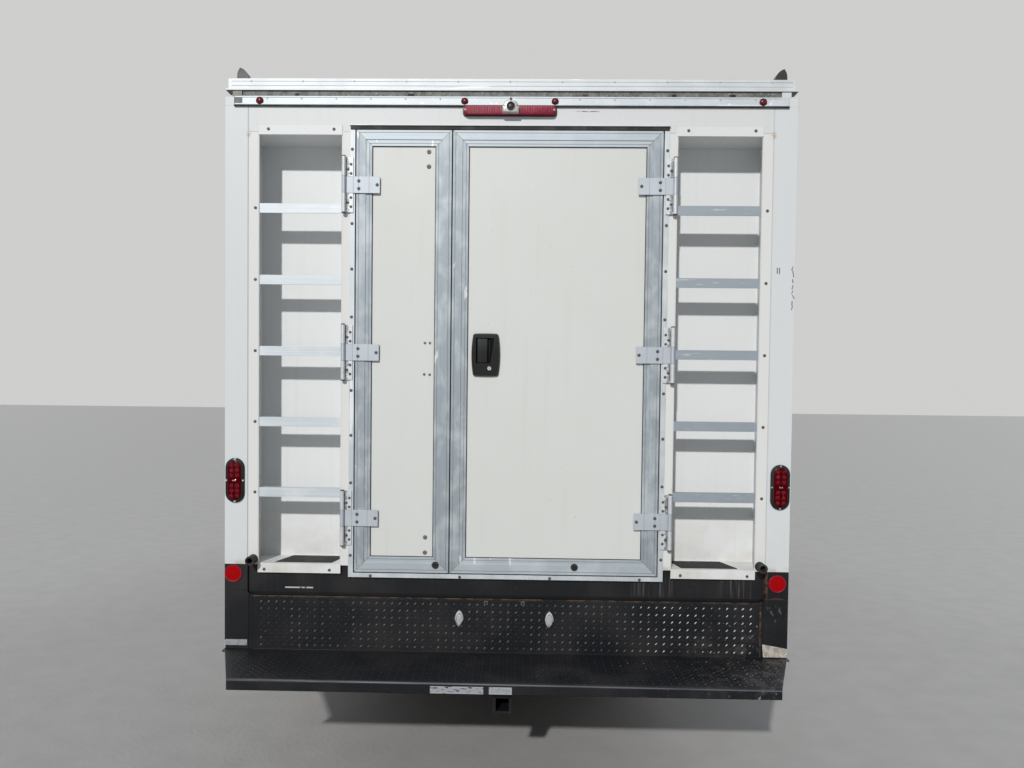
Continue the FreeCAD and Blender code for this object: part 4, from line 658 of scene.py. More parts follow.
def floor_boards():
    """Hardwood strips along the box, sealed and scuffed."""
    look = Look("floor_boards", (0.36, 0.22, 0.12), 0.46)
    board = 0.055
    place = look.maths("MODULO", look.maths("ADD", look.axis("X"), 4.0), board)
    joint = look.ramp(look.away(place, board / 2), 0.0258, 0.0272)
    look.patches((0.50, 0.34, 0.20), (18, 0.8, 18), 5, 0.35, 0.70)
    look.patches((0.24, 0.14, 0.075), (150, 3, 150), 6, 0.52, 0.68, 0.7)
    look.patches((0.20, 0.17, 0.14), 5, 5, 0.55, 0.75, 0.5)
    look.tint(joint, (0.05, 0.035, 0.025))
    look.bump(joint, -0.0012)
    look.grain((220, 6, 220), 4, 0.0003)
    return look.done()


def cloth(name, tone, thread=0.0016):
    """Plain woven cover: two crossed sets of threads."""
    look = Look(name, (tone, tone, tone * 1.1), 0.88, Sheen_Weight=0.35, Sheen_Roughness=0.5)
    weave = []
    for letter in "XYZ":
        turn = look.maths("MULTIPLY", look.axis(letter), 2 * math.pi / thread)
        weave.append(look.maths("SINE", turn))
    mat = look.maths("ADD", look.both(weave[0], weave[1]), look.both(weave[0], weave[2]))
    look.tint(look.ramp(mat, 0.2, 1.4, 0.6), (tone * 2.2, tone * 2.2, tone * 2.3))
    look.patches((tone * 1.6, tone * 1.5, tone * 1.4), 8, 5, 0.5, 0.8, 0.5)
    look.bump(mat, 0.0003)
    look.grain(55, 3, 0.0008)
    return look.done()


def cast_iron():
    look = Look("cast_iron", (0.12, 0.115, 0.11), 0.66, 0.55)
    look.patches((0.21, 0.12, 0.075), 14, 5, 0.42, 0.70, 0.8)
    look.grain(190, 3, 0.0005)
    return look.done(0.002)


def exhaust_steel():
    look = Look("exhaust_steel", (0.33, 0.30, 0.27), 0.5, 0.8)
    look.patches((0.22, 0.115, 0.06), 9, 6, 0.40, 0.66)
    look.grain(120, 3, 0.0003)
    return look.done()


def blank_label():
    """Worn reflective strip with nothing on it: bluish and dark on the left with painted shade, paler and
    warmer towards the kerb side with dust.
    """
    look = Look("blank_strip", (0.30, 0.32, 0.36), 0.55)
    # Painted shade on the left strip, dust on the right: bluish dark on the left, paler and warmer on the
    # kerb side.
    look.tint(look.along("X", -0.5, 0.5), (0.50, 0.47, 0.42))
    look.patches((0.26, 0.235, 0.20), 55, 4, 0.50, 0.62, 0.75)
    look.patches((0.06, 0.055, 0.05), 120, 3, 0.62, 0.66, 0.6)
    look.grain(90, 3, 0.0004)
    return look.done()


def post_steel():
    """End posts of the step: black plate with a rusty edge and chalky rubs."""
    look = black_paint("post_steel", (0.0065, 0.0072, 0.0095), 0.4, 0.5)
    inner = look.ramp(look.out(), 1.086, 1.081)
    rim = look.maths("MAXIMUM", inner, look.along("Z", 0.720, 0.729))
    right = look.along("X", 0.0, 0.1)
    look.tint(look.both(rim, right, look.cloud(60, 4, 0.36, 0.60)), (0.125, 0.070, 0.046), 0.6)
    rubs = look.both(look.near("Z", 0.662, 0.01, 0.03), right, look.cloud(60, 5, 0.58, 0.68))
    look.tint(rubs, (0.22, 0.22, 0.22), 0.45)
    return look.done(0.002)


def grip_mat():
    """Gritty black mat, dusty in places."""
    look = Look("grip_mat", (0.016, 0.016, 0.017), 0.93)
    look.patches((0.12, 0.12, 0.12), 600, 2, 0.58, 0.66, 0.6)
    look.patches((0.12, 0.11, 0.095), 9, 4, 0.5, 0.75, 0.5)
    look.grain(700, 2, 0.0006)
    return look.done()


def latch_black(name, base, rough, shine):
    """Black moulding of the paddle latch, with painted light that makes it a little paler towards its top.
    """
    look = Look(name, (base, base * 1.08, base * 1.2), rough, shine=shine)
    # Painted light: paler towards the top, as if lit from above.
    look.tint(look.along("Z", HANDLE.z + 0.015, HANDLE.z + 0.070, 0.5), (base * 5, base * 5.5, base * 6))
    return look.done()


LOOKS = {
    "white": white_paint(),
    "well": well_paint(),
    "panel": door_panel_paint(),
    "alu_x": aluminium("aluminium_across", "X"),
    "alu_bar": bar_aluminium(),
    "alu_rung": rung_aluminium(),
    "alu_y": aluminium("aluminium_along", "Y"),
    "alu_z": aluminium("aluminium_upright", "Z"),
    "left_frame": door_frame_aluminium("left_door_frame", "rear_door_left_panel"),
    "right_frame": door_frame_aluminium("right_door_frame", "rear_door_right_panel"),
    "weathered": weathered_zinc_and_shade(),
    "zinc": zinc(),
    "hinge": hinge_zinc(),
    "screw": screw_zinc(),
    "skirt": skirt_paint(),
    "chassis": black_paint("chassis_paint", (0.022, 0.021, 0.021), 0.8, 0.9, 0.6).done(0.002),
    "step": step_steel(),
    "lug": lug_highlight_steel(),
    "dull_lug": trodden_steel(),
    "rubber": rubber("soft_rubber"),
    "seal": rubber("seal_rubber", 0.012, 0.6),
    "lamp_seal": rubber("lamp_rubber", 0.006, 0.5, 0.08),
    "front_tyre": tyre_rubber("front_tyre_rubber", FRONT_AXLE),
    "rear_tyre": tyre_rubber("rear_tyre_rubber", REAR_AXLE),
    "wheel": wheel_paint(),
    "red": red_lens(),
    "led": led_red(),
    "bar_red": bar_lens(),
    "dark_red": dark_lens(),
    "reflector": reflector_red(),
    "amber": amber_lens(),
    "black": plastic("black_plastic", 0.015, 0.38),
    "grey": plastic("grey_plastic", 0.075, 0.6),
    "gloss": plastic("gloss_black", 0.014, 0.14, 0.00002),
    "latch": latch_black("latch_moulding", 0.0042, 0.36, 0.28),
    "latch_well": latch_black("latch_recess", 0.0016, 0.5, 0.12),
    "paddle": latch_black("latch_paddle", 0.0130, 0.24, 0.42),
    "chrome": polished("chrome", (0.80, 0.81, 0.83)),
    "silver": zinc_casting(),
    "mirror": polished("mirror_glass", (0.86, 0.88, 0.90), 0.02),
    "clear": clear_lens(),
    "glass": window_glass(),
    "boards": floor_boards(),
    "cloth": cloth("seat_cloth", 0.045),
    "belt": cloth("belt_webbing", 0.020, 0.0028),
    "cast": cast_iron(),
    "exhaust": exhaust_steel(),
    "label": blank_label(),
    "post": post_steel(),
    "grip": grip_mat(),
}


# Forms: each gives its points and faces
def block(a, b):
    """A box between two corners."""
    (x0, y0, z0), (x1, y1, z1) = a, b
    points = [(x, y, z) for z in (z0, z1) for y in (y0, y1) for x in (x0, x1)]
    faces = [(0, 2, 3, 1), (4, 5, 7, 6), (0, 1, 5, 4), (2, 6, 7, 3), (0, 4, 6, 2), (1, 3, 7, 5)]
    return points, faces


def axes_for(direction):
    """Two directions square to a third."""
    w = Vector(direction).normalized()
    side = Vector((0, 0, 1)) if abs(w.z) < 0.9 else Vector((1, 0, 0))
    u = side.cross(w).normalized()
    return u, w.cross(u), w


def turns(count):
    """Angles evenly spaced round a circle."""
    return [2 * math.pi * k / count for k in range(count)]


def band(start, other, n):
    """Faces between two rings of n points, each given by the number of its first point."""
    return [(start + k, start + (k + 1) % n, other + (k + 1) % n, other + k) for k in range(n)]


def skin(rings):
    """Faces between rings of equal length, capped at both ends."""
    n = len(rings[0])
    last = (len(rings) - 1) * n
    faces = [face for start in range(0, last, n) for face in band(start, start + n, n)]
    faces += [tuple(reversed(range(n))), tuple(range(last, last + n))]
    return [p for r in rings for p in r], faces


def lathe(profile, at, direction, sides=24):
    """A solid of revolution from (radius, height) points, closed at both ends."""
    u, v, w = axes_for(direction)
    at = Vector(at)
    rings = []
    for r, h in profile:
        rings.append([at + (u * math.cos(a) + v * math.sin(a)) * r + w * h for a in turns(sides)])
    return skin(rings)


def ring(profile, at, direction, sides=32):
    """A closed profile turned about an axis, with a hole in the middle."""
    points, faces = lathe(profile, at, direction, sides)
    return points, faces[:-2] + band((len(profile) - 1) * sides, 0, sides)


def rod(a, b, radius, sides=16, chamfer=0.0):
    """A round bar from point to point, its ends chamfered."""
    a, b = Vector(a), Vector(b)
    length = (b - a).length
    c = min(chamfer, radius * 0.6)
    profile = [(radius - c, 0), (radius, c), (radius, length - c), (radius - c, length)]
    if not c:
        profile = [(radius, 0), (radius, length)]
    return lathe(profile, a, b - a, sides)


def laid(outline, level, plane="XZ"):
    """A flat outline as points, at a level along the axis that its plane leaves out."""
    return [{"XZ": (a, level, b), "YZ": (level, a, b), "XY": (a, b, level)}[plane] for a, b in outline]


def prism(outline, start, end, plane="XZ"):
    """An outline pushed from one level to another."""
    n = len(outline)
    points = laid(outline, start, plane) + laid(outline, end, plane)
    faces = [tuple(range(n)), tuple(reversed(range(n, 2 * n)))]
    faces += [(k, k + n, (k + 1) % n + n, (k + 1) % n) for k in range(n)]
    return points, faces


def face_with_hole(outer, inner, y):
    """A flat face on XZ between an outer outline and one inside it."""
    turn = sum(a[0] * b[1] - b[0] * a[1] for a, b in zip(inner, inner[1:] + inner[:1]))
    inner = inner if turn > 0 else inner[::-1]
    points = laid(outer + inner, y)
    n, m = len(outer), len(inner)
    nearest = [min(range(m), key=lambda k: math.dist(inner[k], p)) for p in outer]
    faces = []
    for k in range(n):
        a, b = nearest[k], nearest[(k + 1) % n]
        faces.append((k, (k + 1) % n, n + a))
        while a != b:
            after = (a + 1) % m
            faces.append(((k + 1) % n, n + after, n + a))
            a = after
    return points, faces


def rounded(x0, x1, y0, y1, radius, steps=5):
    """Outline of a rectangle with round corners."""
    corners = ((x1 - radius, y0 + radius, -90), (x1 - radius, y1 - radius, 0))
    corners += ((x0 + radius, y1 - radius, 90), (x0 + radius, y0 + radius, 180))
    outline = []
    for cx, cy, start in corners:
        for k in range(steps + 1):
            a = math.radians(start + 90 * k / steps)
            outline.append((cx + radius * math.cos(a), cy + radius * math.sin(a)))
    return outline


def middle(outline):
    """The mean of an outline's points."""
    return [sum(p[i] for p in outline) / len(outline) for i in (0, 1)]


def pillow(outline, base, top, soft, plane="XZ"):
    """An outline raised to a level with a rounded shoulder that draws in by soft."""
    cx, cy = middle(outline)
    reach = max(max(abs(p[0] - cx) for p in outline), max(abs(p[1] - cy) for p in outline))
    rings = [laid(outline, base, plane)]
    for degrees in (0, 30, 60, 90):
        a = math.radians(degrees)
        level = top - math.copysign(soft, top - base) * (1 - math.sin(a))
        factor = 1 - soft * (1 - math.cos(a)) / reach
        drawn_in = [(cx + (x - cx) * factor, cy + (y - cy) * factor) for x, y in outline]
        rings.append(laid(drawn_in, level, plane))
    return skin(rings)


def tube(path, radius, sides=12):
    """A round bar along a path of points."""
    path = [Vector(p) for p in path]
    rings = []
    u = None
    for i, p in enumerate(path):
        ahead = (path[min(i + 1, len(path) - 1)] - path[max(i - 1, 0)]).normalized()
        u = axes_for(ahead)[0] if u is None else (u - ahead * u.dot(ahead)).normalized()
        v = ahead.cross(u)
        rings.append([p + (u * math.cos(a) + v * math.sin(a)) * radius for a in turns(sides)])
    return skin(rings)


def moved(form, shift, turn):
    """The form turned by a matrix, then shifted."""
    points, faces = form
    matrix = Matrix.Translation(shift) @ turn
    return [matrix @ Vector(p) for p in points], faces


def across(form):
    """The mirror image on the other side of the truck."""
    points, faces = form
    return [(-p[0], p[1], p[2]) for p in points], [tuple(reversed(f)) for f in faces]


class Piece:
    """One piece gathered from many forms, each in its own look."""

    def __init__(self, name, body, slot, replaced=()):
        self.name, self.body, self.slot, self.replaced = name, body, slot, replaced
        self.points, self.faces, self.index, self.looks = [], [], [], []

    def add(self, form, look):
        """Adds a form, which is a list of points and a list of faces."""
        if look not in self.looks:
            self.looks.append(look)
        start = len(self.points)
        self.points += [tuple(p) for p in form[0]]
        self.faces += [tuple(start + k for k in f) for f in form[1]]
        self.index += [self.looks.index(look)] * len(form[1])
        return self

    def both(self, form, look):
        """The form and its mirror image."""
        return self.add(form, look).add(across(form), look)

    def put(self, form, look, side):
        """The form, drawn for the right side, on either side."""
        return self.add(form if side > 0 else across(form), look)

    def done(self, bevel=0.0, smooth=0, angle=35):
        """Makes the mesh, with its edges rounded by a bevel or all of it smoothed."""
        mesh = bpy.data.meshes.new(self.name)
        mesh.from_pydata(self.points, [], self.faces)
        for look in self.looks:
            mesh.materials.append(LOOKS[look])
        mesh.polygons.foreach_set("material_index", self.index)
        mesh.shade_smooth()
        item = bpy.data.objects.new(self.name, mesh)
        bpy.context.scene.collection.objects.link(item)
        if smooth:
            item.modifiers.new("round", "SUBSURF").render_levels = smooth
            item.modifiers["round"].levels = smooth
        elif bevel:
            edge = item.modifiers.new("edge", "BEVEL")
            edge.width, edge.segments, edge.limit_method = bevel, 2, "ANGLE"
            edge.angle_limit, edge.harden_normals = math.radians(angle), True
        else:
            mesh.set_sharp_from_angle(angle=math.radians(angle))
        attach(item, self.body)
        if self.replaced:
            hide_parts(*self.replaced)
        return item


def screw(x, y, z, radius=0.0065, direction=BACK, height=0.0035):
    """A pan head with a driver recess."""
    profile = [(radius, 0), (radius, height * 0.35), (radius * 0.86, height * 0.8), (radius * 0.45, height)]
    profile += [(radius * 0.36, height), (radius * 0.30, height * 0.45), (0.0004, height * 0.40)]
    return lathe(profile, (x, y, z), direction, 12)


def rivet(at, direction, radius=0.0052):
    profile = [(radius, 0), (radius * 0.92, radius * 0.3), (radius * 0.6, radius * 0.55)]
    return lathe([*profile, (0.0003, radius * 0.62)], at, direction, 8)


def hex_bolt(at, direction, radius=0.011):
    """A washer and a six-sided head."""
    u = Vector(direction).normalized()
    washer = lathe([(radius * 1.5, 0), (radius * 1.5, 0.002), (radius, 0.0021)], at, u, 16)
    head = lathe([(radius, 0.002), (radius, radius * 0.75), (radius * 0.8, radius * 0.85)], at, u, 6)
    return washer, head


# Rear face
def rear_screws():
    """Screws of the rear face, the joints and caps of the hinge barrels, and strips of painted shade beside
    the barrels.
    """
    piece = Piece("rear_screws", "truck", "zinc_steel")
    lip = FACE - 0.003
    for x, z in ((-1.011, 2.677), (-0.735, 2.677), (0.743, 2.677), (1.020, 2.677)):
        piece.add(screw(x, lip, z), "screw")
    for x in (-1.025, -0.746, 0.740, 1.020):
        piece.add(screw(x, lip, 0.820), "screw")
    for z in RUNGS:
        piece.add(screw(-1.066, FACE, z), "screw").add(screw(1.075, FACE, z), "screw")
    leaf = DOOR_FACE - 0.005
    for hinge in HINGES:
        for x, rises in ((0.661, (0.085, 0.047, -0.053, -0.091)), (0.6735, (0.064, -0.074))):
            for rise in rises:
                piece.both(screw(x, leaf, hinge + rise, 0.0058), "screw")
        for z in (hinge + 0.149, hinge - 0.160):
            piece.both(screw(0.657, DOOR_FACE, z), "screw")
    for z in (1.395, 2.095):
        piece.both(screw(0.657, DOOR_FACE, z), "screw")
    for x in (-0.571, -0.191, 0.190, 0.568):
        piece.add(screw(x, DOOR_FACE, 0.799), "screw")
    for z in HINGES:
        # Painted shade: thin black strips in the crease between each barrel and its leaf.
        for a, b in ((0.036, 0.104), (-0.104, -0.036)):
            piece.both(block((0.6795, leaf - 0.0004, z + a), (0.6815, leaf, z + b)), "seal")
        for rise in (-0.036, 0.036):
            gap = [(0.0086, -0.001), (0.0090, -0.001), (0.0090, 0.001), (0.0086, 0.001)]
            piece.both(ring(gap, (*PIN, z + rise), (0, 0, 1), 20), "seal")
        for sign in (-1, 1):
            cap = [(0.0085, 0), (0.0095, 0.001), (0.0085, 0.004), (0.004, 0.006), (0.0005, 0.0062)]
            piece.both(lathe(cap, (*PIN, z + 0.115 * sign), (0, 0, sign), 16), "screw")
    piece.done()


def door_screws():
    """Screws and rubber buffers of the rear doors."""
    for side, word in SIDES:
        piece = Piece(f"{word}_door_screws", f"{word}_rear_door", "zinc_steel")
        y = DOOR_FACE - 0.006
        for z in HINGES:
            for x, rise in ((0.628, 0.016), (0.628, -0.016), (0.551, 0)):
                piece.add(screw(side * x, y, z + rise, 0.007), "screw")
        panel = DOOR_FACE + 0.007
        if word == "left":
            large = ((-0.336, 2.586), (-0.336, 2.525), (-0.340, 0.965), (-0.340, 0.900))
            small = ((-0.347, 1.788), (-0.326, 1.788), (-0.349, 1.656), (-0.326, 1.655))
            for places, radius in ((large, 0.0095), (small, 0.0055)):
                for x, z in places:
                    piece.add(screw(x, panel, z, radius), "weathered")
        bumper_x = -0.295 if word == "left" else 0.293
        plug = [(0.014, 0), (0.015, 0.004), (0.012, 0.010), (0.006, 0.011), (0.005, 0.006), (0.0004, 0.006)]
        piece.add(lathe(plug, (bumper_x, DOOR_FACE, 0.849), BACK, 20), "rubber")
        piece.done()


def door_trim():
    """Seals in the gap round each door, and the bead between each panel and its frame."""
    for word in ("right", "left"):
        panel = f"rear_door_{word}_panel"
        a, b = low(panel), high(panel)
        piece = Piece(f"{word}_door_seal", f"{word}_rear_door", "black_rubber")
        reach = STILE + 0.0018
        for inside, outside, start, end in ((STILE, reach, 0.010, 0.028), (-0.003, 0.0, 0.0035, 0.0072)):
            back, front = DOOR_FACE + start, DOOR_FACE + end
            x0, x1, z0, z1 = a.x - outside, b.x + outside, a.z - outside, b.z + outside
            wall = outside - inside
            for lo, hi in (
                ((x0, back, z0), (x0 + wall, front, z1)),
                ((x1 - wall, back, z0), (x1, front, z1)),
                ((x0, back, z0), (x1, front, z0 + wall)),
                ((x0, back, z1 - wall), (x1, front, z1)),
            ):
                piece.add(block(lo, hi), "seal")
        piece.done()
    # A black rubber strip under the drip rail over the doors, which is also painted shadow of the rail.
    head = Piece("head_seal", "truck", "black_rubber")
    z = high("door_jamb").z
    head.add(block((-0.664, FACE - 0.0075, z - 0.017), (0.664, FACE - 0.0042, z - 0.001)), "seal")
    head.add(block((-0.668, FACE - 0.012, z - 0.002), (0.668, FACE, z + 0.0015)), "alu_x")
    head.done(0.0006)


def marker_lamps():
    """The four small lamps and the bar lamp of the header, and the round reflectors on the posts."""
    piece = Piece("marker_lamp_set", "truck", "red_lens", ("marker_lamps",))
    rail = FACE - 0.008
    for x, radius in ((1.046, 0.011), (0.188, 0.010)):
        at = (x, rail, HEADER_Z)
        grommet = [(radius + 0.005, 0), (radius + 0.005, 0.002), (radius + 0.001, 0.0045), (radius, 0.001)]
        dome = [(radius, 0), (radius, 0.004), (radius * 0.82, 0.0072), (radius * 0.45, 0.0088)]
        dome.append((0.0003, 0.009))
        piece.both(lathe(grommet, at, BACK, 24), "black")
        piece.both(lathe(dome, at, BACK, 24), "dark_red")
    right, left = (1.147, FACE, PANEL_BASE - 0.050), (-1.157, FACE, PANEL_BASE - 0.040)
    bezel = [(0.037, 0), (0.037, 0.004), (0.0345, 0.006), (0.0325, 0.0052), (0.0325, 0.001)]
    disc = [(0.0325, 0), (0.0325, 0.0045), (0.020, 0.0058), (0.0004, 0.006)]
    for at in (right, left):
        piece.add(lathe(bezel, at, BACK, 40), "bar_red")
        piece.add(lathe(disc, at, BACK, 40), "reflector")
    z0, z1 = 2.732, 2.774
    back = FACE - 0.0005
    piece.add(pillow(rounded(-0.196, 0.196, z0, z1, 0.014), back, FACE - 0.008, 0.001), "black")
    lens = rounded(-0.192, 0.192, z0 + 0.003, z1 - 0.003, 0.012)
    piece.add(pillow(lens, FACE - 0.008, FACE - 0.024, 0.010), "bar_red")
    for i in range(16):
        x = 0.047 + 0.009 * i
        rib = block((x, FACE - 0.0247, z0 + 0.010), (x + 0.0022, FACE - 0.022, z1 - 0.010))
        piece.both(rib, "bar_red")
    piece.both(screw(0.184, FACE - 0.0215, (z0 + z1) / 2, 0.005), "zinc")
    piece.done(0.0004)


def rear_camera():
    """Small camera in a cast housing over the middle of the bar lamp."""
    piece = Piece("rear_camera", "truck", "zinc_steel")
    x, z = 0.004, 2.760
    half = ((0.034, -0.024), (0.036, 0.002), (0.024, 0.022), (0.012, 0.029))
    outline = [(x - half[0][0], z + half[0][1]), *((x + dx, z + dz) for dx, dz in half)]
    outline += [(x - dx, z + dz) for dx, dz in reversed(half[1:])]
    piece.add(pillow(outline, FACE - 0.010, FACE - 0.040, 0.007), "silver")
    spot = (x, FACE - 0.0385, z + 0.002)
    hood = [(0.0165, 0), (0.0175, 0.004), (0.0165, 0.006), (0.0145, 0.006), (0.0140, 0.002), (0.0004, 0.002)]
    piece.add(lathe(hood, spot, BACK, 32), "gloss")
    lens = [(0.0090, 0.0015), (0.0085, 0.0030), (0.005, 0.0042), (0.0003, 0.0046)]
    piece.add(lathe(lens, spot, BACK, 24), "black")
    for dx, dz in ((-0.026, 0.004), (0.026, 0.004), (0, 0.0235)):
        piece.add(screw(x + dx, FACE - 0.0385, z + dz, 0.0032, height=0.002), "gloss")
    cable = [(x, FACE + dy, z + dz) for dy, dz in ((-0.012, 0.024), (-0.013, 0.036), (-0.006, 0.048))]
    piece.add(tube(cable, 0.004), "rubber")
    piece.done(0.0006)


def oval(cx, cz, half_width, half_height, steps=14):
    """Outline with straight sides and round ends."""
    straight = half_height - half_width
    outline = []
    for start, sign in ((0, 1), (180, -1)):
        for k in range(steps + 1):
            a = math.radians(start + 180 * k / steps)
            outline.append((cx + half_width * math.cos(a), cz + sign * straight + half_width * math.sin(a)))
    return outline


def tail_lamps():
    """Oval stop lamps in rubber grommets, with two columns of diodes and a bright pair in the middle."""
    piece = Piece("tail_lamp_set", "truck", "red_lens", ("tail_lamps",))
    x, z = TAIL_LAMP
    piece.both(pillow(oval(x, z, 0.040, 0.095), FACE, FACE - 0.009, 0.004), "lamp_seal")
    piece.both(pillow(oval(x, z, 0.032, 0.086), FACE - 0.006, FACE - 0.0115, 0.002), "gloss")
    piece.both(pillow(oval(x, z, 0.029, 0.083), FACE - 0.008, FACE - 0.0150, 0.005), "red")
    bulb = [(0.0095, 0), (0.0090, 0.0008), (0.0068, 0.0013), (0.004, 0.0014), (0.0003, 0.0014)]
    for row in range(-3, 4):
        for dx in (-0.0125, 0.0125) if row else (-0.0045, 0.0045):
            small = bulb if row else [(r * 0.3, rise) for r, rise in bulb]
            place = (x + dx, FACE - 0.0146, z + 0.0218 * row)
            piece.both(lathe(small, place, BACK, 18), "led" if row else "chrome")
    for dx, dz in ((-0.035, 0), (0.035, 0), (0, 0.0895), (0, -0.0895)):
        tab = rounded(x + dx - 0.004, x + dx + 0.004, z + dz - 0.003, z + dz + 0.003, 0.001, 2)
        piece.both(prism(tab, FACE - 0.0098, FACE - 0.0085), "chrome")
    piece.done(0.0004)


def barrel(cx, cz, half_width, half_height, bow, end_bow, corner, steps=12):
    """Outline of a rectangle with bowed sides, bowed ends and small round corners."""
    quarter = []
    for k in range(steps + 1):
        t = k / steps
        z = t * (half_height - end_bow - corner)
        quarter.append((half_width - bow * (z / half_height) ** 2, z))
    x_end = quarter[-1][0]
    for k in range(1, 6):
        a = math.radians(90 * k / 6)
        x = x_end - corner * (1 - math.cos(a))
        quarter.append((x, half_height - end_bow - corner * (1 - math.sin(a))))
    for k in range(steps + 1):
        x = (x_end - corner) * (1 - k / steps)
        quarter.append((x, half_height - end_bow * (x / half_width) ** 2))
    right = [(x, -z) for x, z in reversed(quarter[1:])] + quarter
    outline = right + [(-x, -z) for x, z in right[1:-1]]
    return [(cx + x, cz + z) for x, z in outline]


def door_handle():
    """Paddle latch: a barrel-sided bezel, a tall paddle, the slanted finger well beside it and a lock."""
    piece = Piece("paddle_latch", "right_rear_door", "black_plastic", ("rear_door_handle",))
    cx, panel, cz = HANDLE
    edge = barrel(cx, cz, 0.060, 0.090, 0.008, 0.002, 0.009)
    top = barrel(cx, cz, 0.053, 0.083, 0.008, 0.002, 0.007)
    n = len(edge)
    front = panel - 0.018

    def opening(foot, head):
        """The four corners of the finger well, one side slanted."""
        left, z0, z1 = cx - 0.041, cz - 0.035, cz + 0.070
        return [(cx + foot, z0), (cx + head, z1), (left, z1), (left, z0)]

    well = opening(0.020, 0.036)
    points = laid(edge, panel) + laid(edge, panel - 0.008) + laid(top, front)
    piece.add((points, band(0, n, n) + band(n, 2 * n, n)), "latch")
    piece.add(face_with_hole(top, well, front), "latch")
    points = laid(well, front) + laid(opening(0.006, 0.012), panel - 0.004)
    piece.add((points, band(0, 4, 4) + [(4, 5, 6, 7)]), "latch_well")
    rings = []
    for t in range(9):
        z = cz - 0.032 + 0.099 * t / 8
        y = panel - 0.0155 + 0.0022 * (2 * t / 8 - 1) ** 2
        side = [(cx - 0.036, y + 0.004), (cx - 0.033, y), (cx + 0.004, y), (cx + 0.008, y + 0.004)]
        side += [(cx + 0.008, panel - 0.005), (cx - 0.036, panel - 0.005)]
        rings.append(laid(side, z, "XY"))
    piece.add(skin(rings), "paddle")
    lever = block((cx + 0.0145, panel - 0.012, cz - 0.032), (cx + 0.0175, panel - 0.0045, cz + 0.062))
    piece.add(lever, "latch")
    spot = (cx + 0.016, front + 0.001, cz - 0.057)
    x, y, z = spot
    lock = [(0.0115, 0), (0.0115, 0.0015), (0.0100, 0.0025), (0.0092, 0.0025), (0.0090, 0.0018)]
    piece.add(lathe([*lock, (0.0003, 0.0018)], spot, BACK, 28), "latch")
    piece.add(lathe([(0.0086, 0.001), (0.0082, 0.0028), (0.0003, 0.0029)], spot, BACK, 28), "chrome")
    piece.add(block((x - 0.0010, y - 0.0030, z - 0.005), (x + 0.0010, y - 0.0027, z + 0.005)), "gloss")
    piece.done(0.0006, angle=50)


def holdbacks():
    """Hollow rubber cups that catch the open doors."""
    piece = Piece("holdback_cups", "truck", "black_rubber", ("door_holdbacks",))
    a, b = low("door_holdbacks"), high("door_holdbacks")
    end, outer = FACE - a.y, (b.z - a.z) / 2
    bore = outer - 0.008
    profile = [(outer, 0), (outer, 0.005), (outer - 0.003, 0.008), (outer - 0.003, end - 0.020)]
    profile += [(outer - 0.0005, end - 0.014), (outer, end - 0.002), (outer - 0.0015, end)]
    profile += [(bore + 0.001, end), (bore, end - 0.002), (bore, 0.015), (0.0004, 0.015)]
    piece.both(lathe(profile, (b.x - outer, FACE, (a.z + b.z) / 2), BACK, 28), "rubber")
    piece.done(0.0006)


def well_mats():
    """Grip mats on the floors of the ladder wells."""
    piece = Piece("well_mats", "truck", "black_rubber")
    z = low("ladder_recesses").z + 0.040
    for front, back in (((-0.984, -0.741), (-0.943, -0.714)), ((0.748, 0.986), (0.722, 0.944))):
        y0, y1 = FACE + 0.020, FACE + 0.150
        outline = [(front[0], y0), (front[1], y0), (back[1], y1), (back[0], y1)]
        piece.add(prism(outline, z + 0.0002, z + 0.0022, "XY"), "grip")
    piece.done()


# Rear step
def lug(length=0.0145, width=0.0046, rise=0.0014):
    """One raised lozenge of tread plate, flat on XY."""
    rings = []
    for scale, level in ((1, 0), (0.82, rise * 0.7), (0.45, rise)):
        half, side = length / 2 * scale, width / 2 * scale
        flat = half * 0.55
        outline = [(-half, 0), (-flat, -side), (flat, -side), (half, 0), (flat, side), (-flat, side)]
        rings.append(laid(outline, level, "XY"))
    points, faces = skin(rings)
    return points, faces[:-2] + faces[-1:]


def step_lugs():
    """Raised pattern on the kick plate and the tread of the step."""
    pitch_x, pitch_z = 0.033, 0.031
    one = lug()
    piece = Piece("step_lugs", "truck", "black_steel")
    upright = Matrix.Rotation(math.radians(90), 4, "X")
    rows = int((KICK_TOP - TREAD_TOP - 0.01) / pitch_z)
    # On the kick plate the lugs of one slant take the painted highlight look and the others the black step
    # look.
    for shift, slant, upright_look, tread_look in ((0, 45, "lug", "dull_lug"), (0.5, -45, "step", "step")):
        turn = Matrix.Rotation(math.radians(slant), 4, "Z")
        for row in range(rows):
            z = TREAD_TOP + 0.018 + pitch_z * (row + shift)
            for i in range(-32, 32):
                x = pitch_x * (i + 0.5 + shift)
                if z < KICK_TOP - 0.008 and abs(x) < 1.066:
                    piece.add(moved(one, (x, FACE, z), upright @ turn), upright_look)
        for row in range(9):
            y = STEP_END + 0.026 + pitch_z * (row + shift)
            limit_x = 1.046 + 0.137 * (y - STEP_END) / (FACE - 0.03 - STEP_END) - 0.012
            for i in range(-36, 36):
                x = pitch_x * (i + 0.5 + shift)
                if abs(x) < limit_x and y < FACE - 0.008:
                    piece.add(moved(one, (x, y, TREAD_TOP), turn), tread_look)
    piece.done(angle=180)


